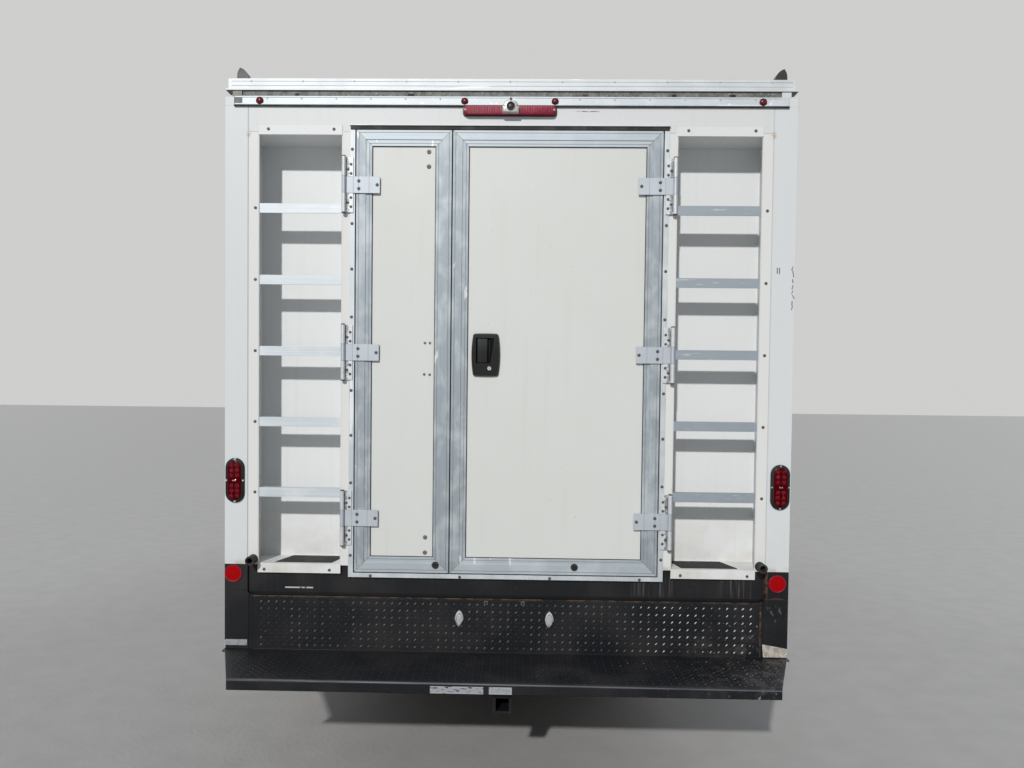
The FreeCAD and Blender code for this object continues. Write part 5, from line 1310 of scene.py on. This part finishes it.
def step_details():
    """The plates of the step's end posts with their blank labels, and two square plugs in the kick plate."""
    piece = Piece("step_details", "truck", "black_steel")
    for side in (1, -1):
        arch = []
        for k in range(9):
            rise = 0.0165 * math.sin(math.pi * (0.12 + 0.70 * k / 8))
            arch.append((1.090 + 0.101 * k / 8, 0.7135 + rise))
        outline = [(1.191, TREAD_TOP + 0.0005), *reversed(arch), (1.090, TREAD_TOP + 0.0005)]
        piece.put(prism(outline[::-1], FACE, FACE - 0.004), "post", side)
        flange = block((1.0765, FACE - 0.001, TREAD_TOP + 0.001), (1.100, FACE + 0.0035, 0.712))
        piece.put(flange, "post", side)
    right = ((1.093, 0.003), (1.1925, 0.003), (1.1925, 0.040), (1.088, 0.058))
    left = ((-1.097, 0.016), (-1.190, 0.016), (-1.190, 0.041), (-1.097, 0.041))
    for corners in (right, left):
        strip = [(x, TREAD_TOP + z) for x, z in corners]
        piece.add(prism(strip, FACE - 0.004, FACE - 0.0052), "label")
    for x in (-0.078, 0.078):
        plug = rounded(x - 0.0085, x + 0.0085, 0.6815, 0.6985, 0.002, 2)
        piece.add(pillow(plug, FACE, FACE - 0.003, 0.001), "screw")
        piece.add(block((x - 0.0045, FACE - 0.0033, 0.6855), (x + 0.0045, FACE - 0.0029, 0.6945)), "seal")
    piece.done(0.0003)


def leaf_outline(x, z, half_width, half_height, steps=10):
    """Upright outline with pointed ends."""
    right = []
    for k in range(steps + 1):
        t = -1 + 2 * k / steps
        right.append((half_width * (1 - t * t) ** 0.85, half_height * t))
    left = [(-a, b) for a, b in reversed(right[1:-1])]
    return [(x + a, z + b) for a, b in right + left]


def plate_lamps():
    """Two chromed lamps beside the place of the number plate."""
    piece = Piece("plate_lamps", "truck", "zinc_steel")
    for x in (-0.191, 0.191):
        z = 0.621
        body, bowl = leaf_outline(x, z, 0.020, 0.040), leaf_outline(x, z, 0.013, 0.027)
        piece.add(pillow(body, FACE, FACE - 0.009, 0.007), "chrome")
        piece.add(pillow(bowl, FACE - 0.007, FACE - 0.0150, 0.006), "clear")
        for rise in (-0.032, 0.032):
            piece.add(screw(x, FACE - 0.0075, z + rise, 0.0025, height=0.0015), "screw")
    piece.done(0.0006)


# Roof and sides
def roof_details():
    """Bolts and rivets of the roof bars, and the grooves along them."""
    piece = Piece("roof_bar_fixings", "truck", "zinc_steel")
    bar_low, bar_high = low("roof_bars"), high("roof_bars")
    first = bar_low.y
    pitch = (bar_high.y - first - 0.058) / 3
    for i in range(4):
        y = first + 0.029 + pitch * i
        for form in hex_bolt((1.149, y, bar_low.z + 0.043), (0, 0, -1), 0.008):
            piece.both(form, "zinc")
        for k in range(-5, 6):
            piece.add(rivet((0.22 * k, y - 0.023, bar_high.z - 0.012), BACK, 0.004), "zinc")
    piece.done()
    groove = Piece("rear_bar_trim", "truck", "aluminium")
    for i in range(4):
        y = first + 0.006 + pitch * i
        for z in (0.012, 0.030):
            level = bar_high.z - z
            groove.add(block((-1.185, y - 0.0012, level - 0.001), (1.185, y, level + 0.001)), "alu_x")
    groove.done(0.0004)


def header_trim():
    """Beads, end brackets, joint and rivets of the header, and the slotted rail over it, the rail and the
    driver's side bracket dark with painted shade.
    """
    piece = Piece("header_trim", "truck", "aluminium")
    y = FACE - 0.008
    for z, deep in ((ROOF_BASE + 0.0035, 0.0022), (ROOF_TOP - 0.004, 0.0016)):
        piece.add(block((-1.152, y - deep, z - 0.0022), (1.152, y, z + 0.0022)), "alu_x")
    bracket = block((1.120, FACE - 0.0095, ROOF_BASE + 0.001), (1.154, FACE - 0.0075, ROOF_TOP - 0.001))
    # The driver's side bracket is dark: painted shade.
    piece.add(bracket, "alu_x").add(across(bracket), "weathered")
    # The slotted rail is dark grey: painted shade of the band under the roof bars.
    rail_top = low("roof_bars").z + 0.043
    piece.add(block((-1.138, FACE + 0.047, ROOF_TOP), (1.138, FACE + 0.082, rail_top - 0.0002)), "weathered")
    for x, half in ((-0.905, 0.010), (-0.420, 0.014), (0.318, 0.012), (0.690, 0.010), (0.935, 0.014)):
        slot = rounded(x - half, x + half, ROOF_TOP + 0.022, ROOF_TOP + 0.032, 0.004, 3)
        piece.add(prism(slot, FACE + 0.0465, FACE + 0.0471), "seal")
    joint = block((-1.156, FACE - 0.009, ROOF_BASE - 0.004), (1.156, FACE - 0.0002, ROOF_BASE - 0.0005))
    piece.add(joint, "seal")
    for k in range(-7, 8):
        if abs(k * 0.145) > 0.23:
            piece.add(rivet((k * 0.145, y - 0.0002, HEADER_Z + 0.009), BACK, 0.0035), "zinc")
    piece.done(0.0004)


def side_details():
    """Rivet rows, panel seams, side lamps and the filler cap of the box."""
    piece = Piece("side_rivets", "truck", "aluminium")
    first, last = FACE + 0.045, BOX_FRONT - 0.055
    count = int((last - first) / 0.1)
    for k in range(count + 1):
        y = first + (last - first) * k / count
        piece.both(rivet((HALF + 0.005, y, ROOF_BASE - 0.008), OUTWARD), "alu_y")
        piece.both(rivet((HALF, y, PANEL_BASE + 0.018), OUTWARD), "white")
    strip = HALF + 0.0012
    for seam in (1, 2):
        y = first + (last - first) * seam / 3
        cover = block((HALF, y - 0.020, PANEL_BASE + 0.002), (strip, y + 0.020, ROOF_BASE - 0.022))
        piece.both(cover, "white")
        for k in range(19):
            z = PANEL_BASE + 0.06 + 0.1 * k
            for row in (y - 0.011, y + 0.011):
                piece.both(rivet((strip, row, z), OUTWARD, 0.0042), "white")
    piece.done()
    lamps = Piece("side_lamps", "truck", "red_lens")
    for y, look in ((FACE + 0.10, "red"), (BOX_FRONT - 0.14, "amber")):
        for z in (ROOF_BASE + 0.016, PANEL_BASE - 0.060):
            start = HALF + (0.005 if z > 2 else 0)
            outline = rounded(y - 0.035, y + 0.035, z - 0.013, z + 0.013, 0.010)
            lamps.both(pillow(outline, start, start + 0.004, 0.001, "YZ"), "black")
            inner = rounded(y - 0.030, y + 0.030, z - 0.009, z + 0.009, 0.008)
            lamps.both(pillow(inner, start + 0.003, start + 0.012, 0.004, "YZ"), look)
    lamps.done(0.0003)
    cap = Piece("fuel_filler", "truck", "black_plastic")
    y, z, x = REAR_AXLE + 0.95, 0.700, -HALF
    bezel = [(0.075, 0), (0.075, 0.003), (0.068, 0.005), (0.062, 0.001), (0.0004, 0.001)]
    cap.add(lathe(bezel, (x, y, z), (-1, 0, 0), 40), "black")
    lid = [(0.052, 0.001), (0.052, 0.0055), (0.046, 0.0075), (0.0004, 0.0078)]
    cap.add(lathe(lid, (x, y, z), (-1, 0, 0), 12), "black")
    cap.add(block((x - 0.0115, y - 0.036, z - 0.006), (x - 0.0070, y + 0.036, z + 0.006)), "black")
    cap.done(0.001)


# Cab
def cab_y(distance):
    """A place given by its distance behind the front bumper."""
    return NOSE - distance


def screen_details():
    """Rubber round the windscreen and two wipers parked along its foot."""
    piece = Piece("screen_seal", "truck", "black_rubber")
    corners = [(-0.830, 1.222), (0.830, 1.222), (0.690, 1.850), (-0.690, 1.850)]

    def on_screen(x, z, proud):
        """A point that stands proud of the windscreen's outside."""
        return Vector((x, high("windscreen").y + (low("windscreen").z - z) * SCREEN_SLOPE + proud, z))

    for a, b in zip(corners, corners[1:] + corners[:1]):
        path = []
        for k in range(9):
            t = k / 8
            path.append(on_screen(a[0] + (b[0] - a[0]) * t, a[1] + (b[1] - a[1]) * t, 0.002))
        piece.add(tube(path, 0.009, 8), "seal")
    for x0, x1 in ((-0.08, -0.66), (0.62, 0.06)):
        pivot = on_screen(x0, 1.205, 0.030)
        tip = on_screen(x1, 1.262, 0.020)
        mid = on_screen((x0 + x1) / 2, 1.238, 0.034)
        boss = [(0.016, 0), (0.016, 0.014), (0.010, 0.022), (0.0004, 0.022)]
        piece.add(lathe(boss, pivot - Vector((0, 0.012, 0.01)), (0, 0.65, 0.75), 20), "black")
        piece.add(tube([pivot, mid, tip], 0.006, 8), "black")
        blade = []
        for k in range(7):
            along = k / 6 * 1.02 - 0.20
            blade.append(on_screen(x1 + (x0 - x1) * along, 1.266 - 0.012 * k / 6, 0.014))
        piece.add(tube(blade, 0.005, 8), "seal")
    piece.done()


def grille_and_lamps():
    """Headlamps with bowls, side lamps and the radiator behind the grille."""
    y = cab_y(0.094)
    lamp = Piece("headlamp_units", "truck", "clear_lens", ("headlamps",))
    x0, x1, z0, z1 = 0.600, 0.850, 0.700, 0.880
    outline = rounded(x0, x1, z0, z1, 0.022)
    lamp.both(pillow(outline, y - 0.030, y - 0.020, 0.001), "black")
    inner = rounded(x0 + 0.008, x1 - 0.062, z0 + 0.010, z1 - 0.010, 0.016)
    lamp.both(pillow(inner, y - 0.021, y - 0.014, 0.004), "mirror")
    centre = ((x0 + x1 - 0.054) / 2, y - 0.0145, (z0 + z1) / 2)
    bowl = [(0.070, 0), (0.066, 0.004), (0.030, -0.0035), (0.028, -0.004), (0.069, -0.001)]
    lamp.both(ring(bowl, centre, (0, 1, 0)), "mirror")
    bulb = [(0.022, -0.002), (0.020, 0.004), (0.010, 0.007), (0.0004, 0.008)]
    lamp.both(lathe(bulb, centre, (0, 1, 0)), "clear")
    amber = rounded(x1 - 0.052, x1 - 0.008, z0 + 0.010, z1 - 0.010, 0.010)
    lamp.both(pillow(amber, y - 0.021, y - 0.006, 0.004), "amber")
    cover = rounded(x0 + 0.004, x1 - 0.056, z0 + 0.005, z1 - 0.005, 0.018)
    lamp.both(pillow(cover, y - 0.006, y - 0.001, 0.002), "clear")
    lamp.done(0.0008)
    back = Piece("radiator", "truck", "black_plastic")
    y0 = cab_y(0.175)
    back.add(block((-0.62, y0, 0.680), (0.62, y0 + 0.02, 0.900)), "gloss")
    for k in range(56):
        x = -0.61 + 0.0221 * k
        back.add(block((x, y0 + 0.02, 0.685), (x + 0.003, y0 + 0.026, 0.895)), "grey")
    back.done()
    bars = Piece("grille_surround", "truck", "black_plastic")
    front = cab_y(0.096)
    for x0, z0, x1, z1 in (
        (-0.56, 0.686, 0.56, 0.698), (-0.56, 0.882, 0.56, 0.894),
        (-0.564, 0.69, -0.552, 0.89), (0.552, 0.69, 0.564, 0.89),
    ):
        bars.add(block((x0, front - 0.002, z0), (x1, front + 0.004, z1)), "chrome")
    for x in (-0.353, -0.177, 0, 0.177, 0.353):
        bars.add(block((x - 0.004, front - 0.016, 0.700), (x + 0.004, front - 0.002, 0.880)), "black")
    bars.done(0.0012)


def bumper_details():
    """Strip, air slots and plugs of the front bumper."""
    piece = Piece("bumper_trim", "truck", "black_plastic")
    piece.add(block((-0.72, NOSE - 0.004, 0.585), (0.72, NOSE, 0.622)), "black")
    for k in range(-13, 14):
        x = k * 0.052
        piece.add(block((x - 0.016, NOSE - 0.0045, 0.462), (x + 0.016, NOSE - 0.0004, 0.492)), "gloss")
    piece.both(block((0.28, NOSE - 0.003, 0.520), (0.31, NOSE, 0.550)), "black")
    piece.done(0.0008)


def cab_door_details():
    """Handles, window rubbers and mirror faces of the cab doors."""
    x, y = 1.005, cab_y(2.160)
    for side, word in SIDES:
        piece = Piece(f"{word}_cab_door_fittings", f"{word}_cab_door", "black_plastic")
        outline = rounded(y - 0.085, y + 0.085, 1.085, 1.145, 0.018)
        piece.put(pillow(outline, x - 0.002, x + 0.004, 0.002, "YZ"), "black", side)
        cup = rounded(y - 0.050, y + 0.050, 1.092, 1.138, 0.016)
        piece.put(prism(cup, x + 0.0035, x + 0.0044, "YZ"), "gloss", side)
        grip = ((0.003, -0.072), (0.018, -0.062), (0.020, 0), (0.018, 0.062), (0.003, 0.072))
        piece.put(tube([(x + dx, y + dy, 1.118) for dx, dy in grip], 0.009, 10), "black", side)
        lock = [(0.011, 0), (0.011, 0.002), (0.008, 0.003), (0.0003, 0.003)]
        piece.put(lathe(lock, (x, y - 0.03, 1.050), OUTWARD, 20), "chrome", side)
        corners = [(1.398, 1.296), (1.643, 1.830), (2.192, 1.830), (2.192, 1.296)]
        for p, q in zip(corners, corners[1:] + corners[:1]):
            path = []
            for k in range(5):
                s, z = p[0] + (q[0] - p[0]) * k / 4, p[1] + (q[1] - p[1]) * k / 4
                path.append((0.835 + (1.880 - z) * (0.140 / 0.580), cab_y(s), z))
            piece.put(tube(path, 0.007, 8), "seal", side)
        mirror_y = cab_y(1.390) - 0.030
        for z0, z1 in ((1.300, 1.535), (1.165, 1.290)):
            face = rounded(1.140, 1.280, z0, z1, 0.014)
            piece.put(pillow(face, mirror_y, mirror_y - 0.003, 0.0015), "mirror", side)
        housing = rounded(1.131, 1.289, 1.151, 1.549, 0.02)
        piece.put(pillow(housing, mirror_y + 0.004, mirror_y - 0.0008, 0.001), "black", side)
        moulding = block((x - 0.002, cab_y(2.235), 0.800), (x + 0.009, cab_y(1.345), 0.850))
        piece.put(moulding, "black", side)
        piece.done(0.0008)


def cab_roof_lamps():
    """Five amber lamps on the front edge of the box roof."""
    piece = Piece("front_roof_lamps", "truck", "red_lens")
    for x in (-1.05, -0.19, 0.0, 0.19, 1.05):
        outline = rounded(x - 0.045, x + 0.045, ROOF_BASE + 0.006, ROOF_BASE + 0.032, 0.010)
        piece.add(pillow(outline, BOX_FRONT, BOX_FRONT + 0.005, 0.001), "black")
        inner = rounded(x - 0.039, x + 0.039, ROOF_BASE + 0.009, ROOF_BASE + 0.029, 0.008)
        piece.add(pillow(inner, BOX_FRONT + 0.004, BOX_FRONT + 0.015, 0.005), "amber")
    piece.done(0.0004)


def seat_shape(x0, x1, section, crown, channels):
    """A padded form across the truck: a side outline whose middle swells, with sewn channels."""
    rings = []
    cy, cz = middle(section)
    for i in range(15):
        t = i / 14
        edge = abs(2 * t - 1)
        swell = 1 + crown * (1 - edge ** 2) - 0.10 * edge ** 6
        if any(abs(t - c) < 0.02 for c in channels):
            swell -= 0.035
        outline = [(cy + (y - cy) * swell, cz + (z - cz) * swell) for y, z in section]
        rings.append(laid(outline, x0 + (x1 - x0) * t, "YZ"))
    return skin(rings)


def cab_outline(*points):
    """Points on YZ, each given by its distance behind the front bumper and its height."""
    return [(cab_y(s), z) for s, z in points]


def seats():
    """Two seats, each a cushion, a back and a headrest on a plain base."""
    piece = Piece("seat_pads", "truck", "seat_cloth", ("seats",))
    cushion = cab_outline((1.575, 1.075), (1.60, 1.165), (1.80, 1.178), (2.03, 1.165), (2.055, 1.10),
                          (2.04, 1.045), (1.80, 1.050), (1.60, 1.060))
    back = cab_outline((2.010, 1.14), (2.035, 1.35), (2.085, 1.60), (2.150, 1.755), (2.205, 1.745),
                       (2.185, 1.55), (2.150, 1.30), (2.110, 1.12))
    rest = cab_outline((2.150, 1.775), (2.145, 1.84), (2.160, 1.885), (2.205, 1.885), (2.220, 1.84),
                       (2.215, 1.775))
    base = cab_outline((1.62, 0.785), (2.04, 0.785), (2.02, 1.055), (1.64, 1.065))
    for side in (1, -1):
        piece.put(seat_shape(0.300, 0.780, cushion, 0.06, (0.25, 0.75)), "cloth", side)
        piece.put(seat_shape(0.310, 0.770, back, 0.05, (0.25, 0.75)), "cloth", side)
        piece.put(seat_shape(0.430, 0.650, rest, 0.05, ()), "cloth", side)
        for x in (0.49, 0.59):
            piece.put(rod((x, cab_y(2.18), 1.70), (x, cab_y(2.18), 1.79), 0.006), "chrome", side)
        piece.put(prism(base, 0.36, 0.72, "YZ"), "grey", side)
        piece.put(block((0.775, cab_y(2.06), 1.02), (0.792, cab_y(1.70), 1.075)), "grey", side)
    item = piece.done(smooth=1)


def dash_details():
    """Instrument hood and dials, vents, glove box line, pedals and belts."""
    piece = Piece("dash_fittings", "truck", "grey_plastic")
    x0 = -0.43
    hood = cab_outline((1.125, 1.150), (1.150, 1.205), (1.060, 1.222), (0.960, 1.190), (0.960, 1.150))
    piece.add(prism(hood, x0 - 0.20, x0 + 0.20, "YZ"), "grey")
    y, z = cab_y(1.1385), 1.182
    dial = [(0.020, 0), (0.019, 0.002), (0.016, 0.0022), (0.0156, 0.0008), (0.0003, 0.0008)]
    for k in (-1, 0, 1):
        x = x0 + 0.062 * k
        piece.add(lathe(dial, (x, y - 0.004, z), (0, -1, 0.3), 28), "gloss")
        piece.add(block((x - 0.0007, y - 0.0080, z), (x + 0.0007, y - 0.0074, z + 0.012)), "label")
    y = cab_y(1.1335)
    for x in (-0.80, -0.06, 0.16, 0.80):
        piece.add(block((x - 0.055, y - 0.008, 1.110), (x + 0.055, y + 0.012, 1.160)), "black")
        for k in range(5):
            z = 0.009 * k
            piece.add(block((x - 0.048, y - 0.011, 1.115 + z), (x + 0.048, y - 0.007, 1.118 + z)), "gloss")
    y, front = cab_y(1.122), cab_y(1.100)
    piece.add(block((0.33, y - 0.004, 1.020), (0.72, front, 1.100)), "grey")
    piece.add(block((0.50, y - 0.008, 1.082), (0.56, y - 0.003, 1.092)), "chrome")
    piece.add(block((-0.10, y - 0.005, 1.030), (0.20, front, 1.095)), "black")
    knob = [(0.016, 0), (0.014, 0.012), (0.0004, 0.013)]
    for x in (-0.04, 0.05, 0.14):
        piece.add(lathe(knob, (x, cab_y(1.127), 1.060), (0, -1, 0.2), 20), "gloss")
    for x, wide in ((-0.50, 0.045), (-0.36, 0.030)):
        piece.add(block((x - wide, cab_y(0.965), 0.86), (x + wide, cab_y(0.950), 0.93)), "rubber")
        piece.add(rod((x, cab_y(0.952), 0.92), (x, cab_y(0.880), 1.01), 0.006), "skirt")
    piece.done(0.002)
    wheel = Piece("steering_boss", "truck", "grey_plastic")
    tilt = Vector((0, -math.sin(math.radians(58)), math.cos(math.radians(58))))
    centre = Vector((x0, cab_y(1.400), 1.210))
    boss = [(0.066, -0.018), (0.070, -0.006), (0.062, 0.010), (0.040, 0.016), (0.0005, 0.017)]
    wheel.add(lathe(boss, centre, tilt, 36), "black")
    rim = [(0.188, -0.013), (0.203, -0.006), (0.2042, 0.004), (0.195, 0.0135), (0.182, 0.0135)]
    wheel.add(ring([*rim, (0.1755, 0.002), (0.178, -0.009)], centre, tilt, 56), "black")
    wheel.done()
    belts = Piece("seat_belts", "truck", "black_rubber")
    for side in (1, -1):
        rings = []
        for x, s, z in ((0.800, 2.275, 1.740), (0.800, 2.262, 1.30), (0.812, 2.240, 0.95)):
            a, b, y = x - 0.024, x + 0.024, cab_y(s)
            rings.append([(a, y, z), (b, y, z), (b, y + 0.0014, z), (a, y + 0.0014, z)])
        belts.put(skin(rings), "belt", side)
        guide = block((0.770, cab_y(2.285), 1.725), (0.830, cab_y(2.268), 1.765))
        belts.put(guide, "grey", side)
    belts.done(0.0006)


# Wheels
HUBS = {
    "front": [(0.058, 0), (0.058, 0.012), (0.046, 0.020), (0.040, 0.052), (0.032, 0.060), (0.0005, 0.062)],
    "rear": [(0.050, 0.055), (0.050, 0.066), (0.044, 0.074), (0.0005, 0.076)],
}


def tyre(piece, x, axle_y, look):
    """A tyre with grooved tread and siping, its shoulders notched."""
    half = 0.1125
    wall = [(0.203, half - 0.027), (0.214, half - 0.020), (0.222, half - 0.018), (0.240, half - 0.009)]
    wall += [(0.262, half - 0.003), (0.285, half), (0.310, half - 0.001), (0.332, half - 0.004)]
    wall.append((0.346, half - 0.009))
    wide, shoulder, bottom = 0.006, TYRE_RADIUS - 0.006, TYRE_RADIUS - 0.011
    crown = [(shoulder, -(half - 0.017))]
    for place in (-0.052, -0.018, 0.018, 0.052):
        brim = TYRE_RADIUS - 0.001 - 0.0006 * abs(place) / 0.05
        crown += [(brim, place - wide), (bottom, place - wide * 0.6)]
        crown += [(bottom, place + wide * 0.6), (brim, place + wide)]
    crown.append((shoulder, half - 0.017))
    profile = [(r, -h) for r, h in wall] + crown + [(r, h) for r, h in reversed(wall)]
    n, sides = len(profile), 96
    points, faces = [], []
    for k, turn in enumerate(turns(sides)):
        for r, h in profile:
            if r > 0.34:
                a = turn + 0.011 * math.copysign(1, h) * (abs(h) > 0.03)
                r -= 0.007 if k % 2 and abs(h) > 0.062 else 0.0
            else:
                a = turn
            points.append((x + h, axle_y + r * math.cos(a), WHEEL_Z + r * math.sin(a)))
        faces += band(k * n, (k + 1) % sides * n, n)
    piece.add((points, faces), look)


def wheels():
    """Tyres with tread, hubs, wheel nuts and studs."""
    for side, word in SIDES:
        front = Piece(f"{word}_front_tyre_tread", f"{word}_front_wheel", "tyre", (f"tyre_front_{word}",))
        tyre(front, side * 0.870, FRONT_AXLE, "front_tyre")
        front.done(angle=30)
        rear = Piece(f"{word}_rear_tyre_tread", f"{word}_rear_wheels", "tyre", (f"tyres_rear_{word}",))
        for x in (0.795, 1.065):
            tyre(rear, side * x, REAR_AXLE, "rear_tyre")
        rear.done(angle=30)
        for body, axle, face_x, name in (
            (f"{word}_front_wheel", FRONT_AXLE, 0.870 + 0.064, "front"),
            (f"{word}_rear_wheels", REAR_AXLE, 0.930 + 0.008, "rear"),
        ):
            piece = Piece(f"{word}_{name}_wheel_nuts", body, "zinc_steel")
            for k in range(8):
                a = 2 * math.pi * (k + 0.5) / 8
                at = (side * face_x, axle + 0.0825 * math.cos(a), WHEEL_Z + 0.0825 * math.sin(a))
                for form in hex_bolt(at, (side, 0, 0), 0.0115):
                    piece.add(form, "zinc")
                end = (at[0] + side * 0.022, at[1], at[2])
                piece.add(rod(at, end, 0.0065, 12, 0.0015), "zinc")
            piece.add(lathe(HUBS[name], (side * face_x, axle, WHEEL_Z), (side, 0, 0), 36), "wheel")
            if name == "rear":
                for a in turns(8):
                    at = (side * (face_x + 0.064), axle + 0.036 * math.cos(a), WHEEL_Z + 0.036 * math.sin(a))
                    for form in hex_bolt(at, (side, 0, 0), 0.005):
                        piece.add(form, "zinc")
            piece.done(0.0006)


# Underside
def frame_bolts():
    """Rivet rows along the chassis frame."""
    piece = Piece("frame_bolts", "truck", "zinc_steel")
    for k in range(22):
        for z in (0.600, 0.665):
            piece.both(rivet((0.432, cab_y(0.6 + 0.24 * k), z), OUTWARD, 0.009), "chassis")
    piece.done()


def box_inside():
    """Roof bows, wall posts and a kick strip inside the load space."""
    piece = Piece("box_lining", "truck", "aluminium")
    start, end = FACE + 0.10, BOX_FRONT - 0.10
    for k in range(7):
        y = start + (end - start) * k / 6
        a, b = y - 0.018, y + 0.018
        piece.add(block((-1.160, a, ROOF_BASE - 0.0075), (1.160, b, ROOF_BASE - 0.0002)), "alu_x")
        piece.both(block((1.1565, a, FLOOR_TOP + 0.14), (1.1648, b, ROOF_BASE - 0.0078)), "alu_z")
    piece.both(block((1.155, start, FLOOR_TOP + 0.010), (1.1648, end, FLOOR_TOP + 0.140)), "alu_y")
    piece.done(0.0008)


# Looks of the solids that stay in sight
CAD_LOOKS = {
    "chassis": ("chassis_frame", "rear_axle", "front_suspension"),
    "cast": ("knuckle_left", "knuckle_right", "engine_block", "gearbox_and_shaft"),
    "wheel": ("rim_front_left", "rim_front_right", "rims_rear_left", "rims_rear_right"),
    "skirt": ("fuel_tank", "lower_skirts", "front_bumper"),
    "exhaust": ("exhaust",),
    "boards": ("box_floor",),
    "white": (
        "box_side_left", "box_side_right", "box_roof", "box_front_wall", "rear_frame", "cab_shell",
        "front_fenders", "hood", "cab_door_left", "cab_door_right",
    ),
    "alu_y": ("body_rails",),
    "well": ("ladder_recesses",),
    "alu_rung": ("ladder_rungs",),
    "alu_z": ("door_jamb",),
    "left_frame": ("rear_door_left_frame",),
    "right_frame": ("rear_door_right_frame",),
    "panel": ("rear_door_left_panel", "rear_door_right_panel"),
    "hinge": ("hinge_butts",),
    "step": ("step_bumper", "hitch_receiver"),
    "alu_bar": ("roof_bars",),
    "black": ("rack_stops", "grille"),
    "grey": ("cab_floor", "dashboard"),
    "glass": ("windscreen", "door_glass_left", "door_glass_right"),
}


def dress_solids():
    """Gives each of those solids its look."""
    for look, names in CAD_LOOKS.items():
        for name in names:
            item = NODES[name]
            if not item.data.materials:
                item.data.materials.append(LOOKS[look])
            for slot in item.material_slots:
                slot.material = LOOKS[look]


# Studio
def floor():
    """A pale floor that runs out of sight."""
    mesh = bpy.data.meshes.new("studio_floor")
    far = 60.0
    mesh.from_pydata([(-far, -far, 0), (far, -far, 0), (far, far, 0), (-far, far, 0)], [], [(0, 1, 2, 3)])
    item = bpy.data.objects.new("studio_floor", mesh)
    bpy.context.scene.collection.objects.link(item)
    look = Look("pale_floor", (0.390, 0.385, 0.380), 0.75)
    look.patches((0.325, 0.322, 0.318), 6, 6, 0.35, 0.70, 0.5)
    look.grain(40, 4, 0.0015)
    mesh.materials.append(look.done())


def surround():
    """World: soft even light, and a pale grey where the camera or a shiny surface looks past the truck."""
    world = bpy.data.worlds.new("studio")
    bpy.context.scene.world = world
    world.use_nodes = True
    tree = world.node_tree
    light = tree.nodes["Background"]
    light.inputs["Color"].default_value = (0.84, 0.92, 1.0, 1)
    light.inputs["Strength"].default_value = 0.235
    seen = add_node(tree, "ShaderNodeBackground", {"Color": (0.62, 0.62, 0.615, 1), "Strength": 1.0})
    rays = add_node(tree, "ShaderNodeLightPath").outputs
    direct = rays["Is Camera Ray"]
    for kind in ("Is Transmission Ray", "Is Glossy Ray"):
        inputs = {0: direct, 1: rays[kind]}
        direct = add_node(tree, "ShaderNodeMath", inputs, operation="ADD", use_clamp=True).outputs[0]
    mix = add_node(tree, "ShaderNodeMixShader", {0: direct, 1: light.outputs[0], 2: seen.outputs[0]})
    tree.links.new(mix.outputs[0], tree.nodes["World Output"].inputs["Surface"])


def lamp(name, energy, spread, colour, direction):
    """A distant lamp that shines along a direction."""
    data = bpy.data.lights.new(name, "SUN")
    data.energy = energy
    data.angle = math.radians(spread)
    data.color = colour
    item = bpy.data.objects.new(name, data)
    bpy.context.scene.collection.objects.link(item)
    item.rotation_euler = Vector(direction).to_track_quat("-Z", "Y").to_euler()


def lamps():
    """A key lamp from above and behind the camera, and two weaker, softer ones from the front."""
    lamp("key", 2.63, 2.0, (1.0, 0.982, 0.958), (0.046, 0.163, -0.101))
    lamp("kerb_fill", 0.90, 30, (0.95, 0.97, 1.0), (-0.55, -0.45, -0.42))
    lamp("driver_fill", 0.55, 30, (0.95, 0.97, 1.0), (0.55, -0.45, -0.42))


def camera():
    """The photograph's viewpoint: 3.2 m behind the rear face, at about eye height."""
    yaw, pitch, roll = math.radians(-1.11), math.radians(-1.58), math.radians(0.63)
    data = bpy.data.cameras.new("camera")
    data.sensor_width = 36.0
    data.lens = 26.68
    data.shift_x = 0.0098
    data.shift_y = 0.0285
    item = bpy.data.objects.new("camera", data)
    bpy.context.scene.collection.objects.link(item)
    ahead = Vector((math.sin(yaw) * math.cos(pitch), math.cos(yaw) * math.cos(pitch), math.sin(pitch)))
    flat = Vector((math.cos(yaw), -math.sin(yaw), 0))
    rise = flat.cross(ahead)
    right = math.cos(roll) * flat + math.sin(roll) * rise
    up = -math.sin(roll) * flat + math.cos(roll) * rise
    turn = Matrix((right, up, -ahead)).transposed().to_4x4()
    item.matrix_world = Matrix.Translation((0.043, FACE - 3.196, 1.584)) @ turn
    bpy.context.scene.camera = item


def main():
    """Builds every piece, then the floor, the surroundings, the lamps and the camera."""
    dress_solids()
    for make in (
        rear_screws, door_screws, door_trim, marker_lamps, rear_camera, tail_lamps, door_handle, holdbacks,
        well_mats, step_lugs, step_details, plate_lamps, roof_details, header_trim, side_details,
        screen_details, grille_and_lamps, bumper_details, cab_door_details, cab_roof_lamps,
        seats, dash_details, wheels, frame_bolts, box_inside,
    ):
        make()
    floor()
    surround()
    lamps()
    camera()
    bpy.context.scene.view_settings.view_transform = "Standard"


main()
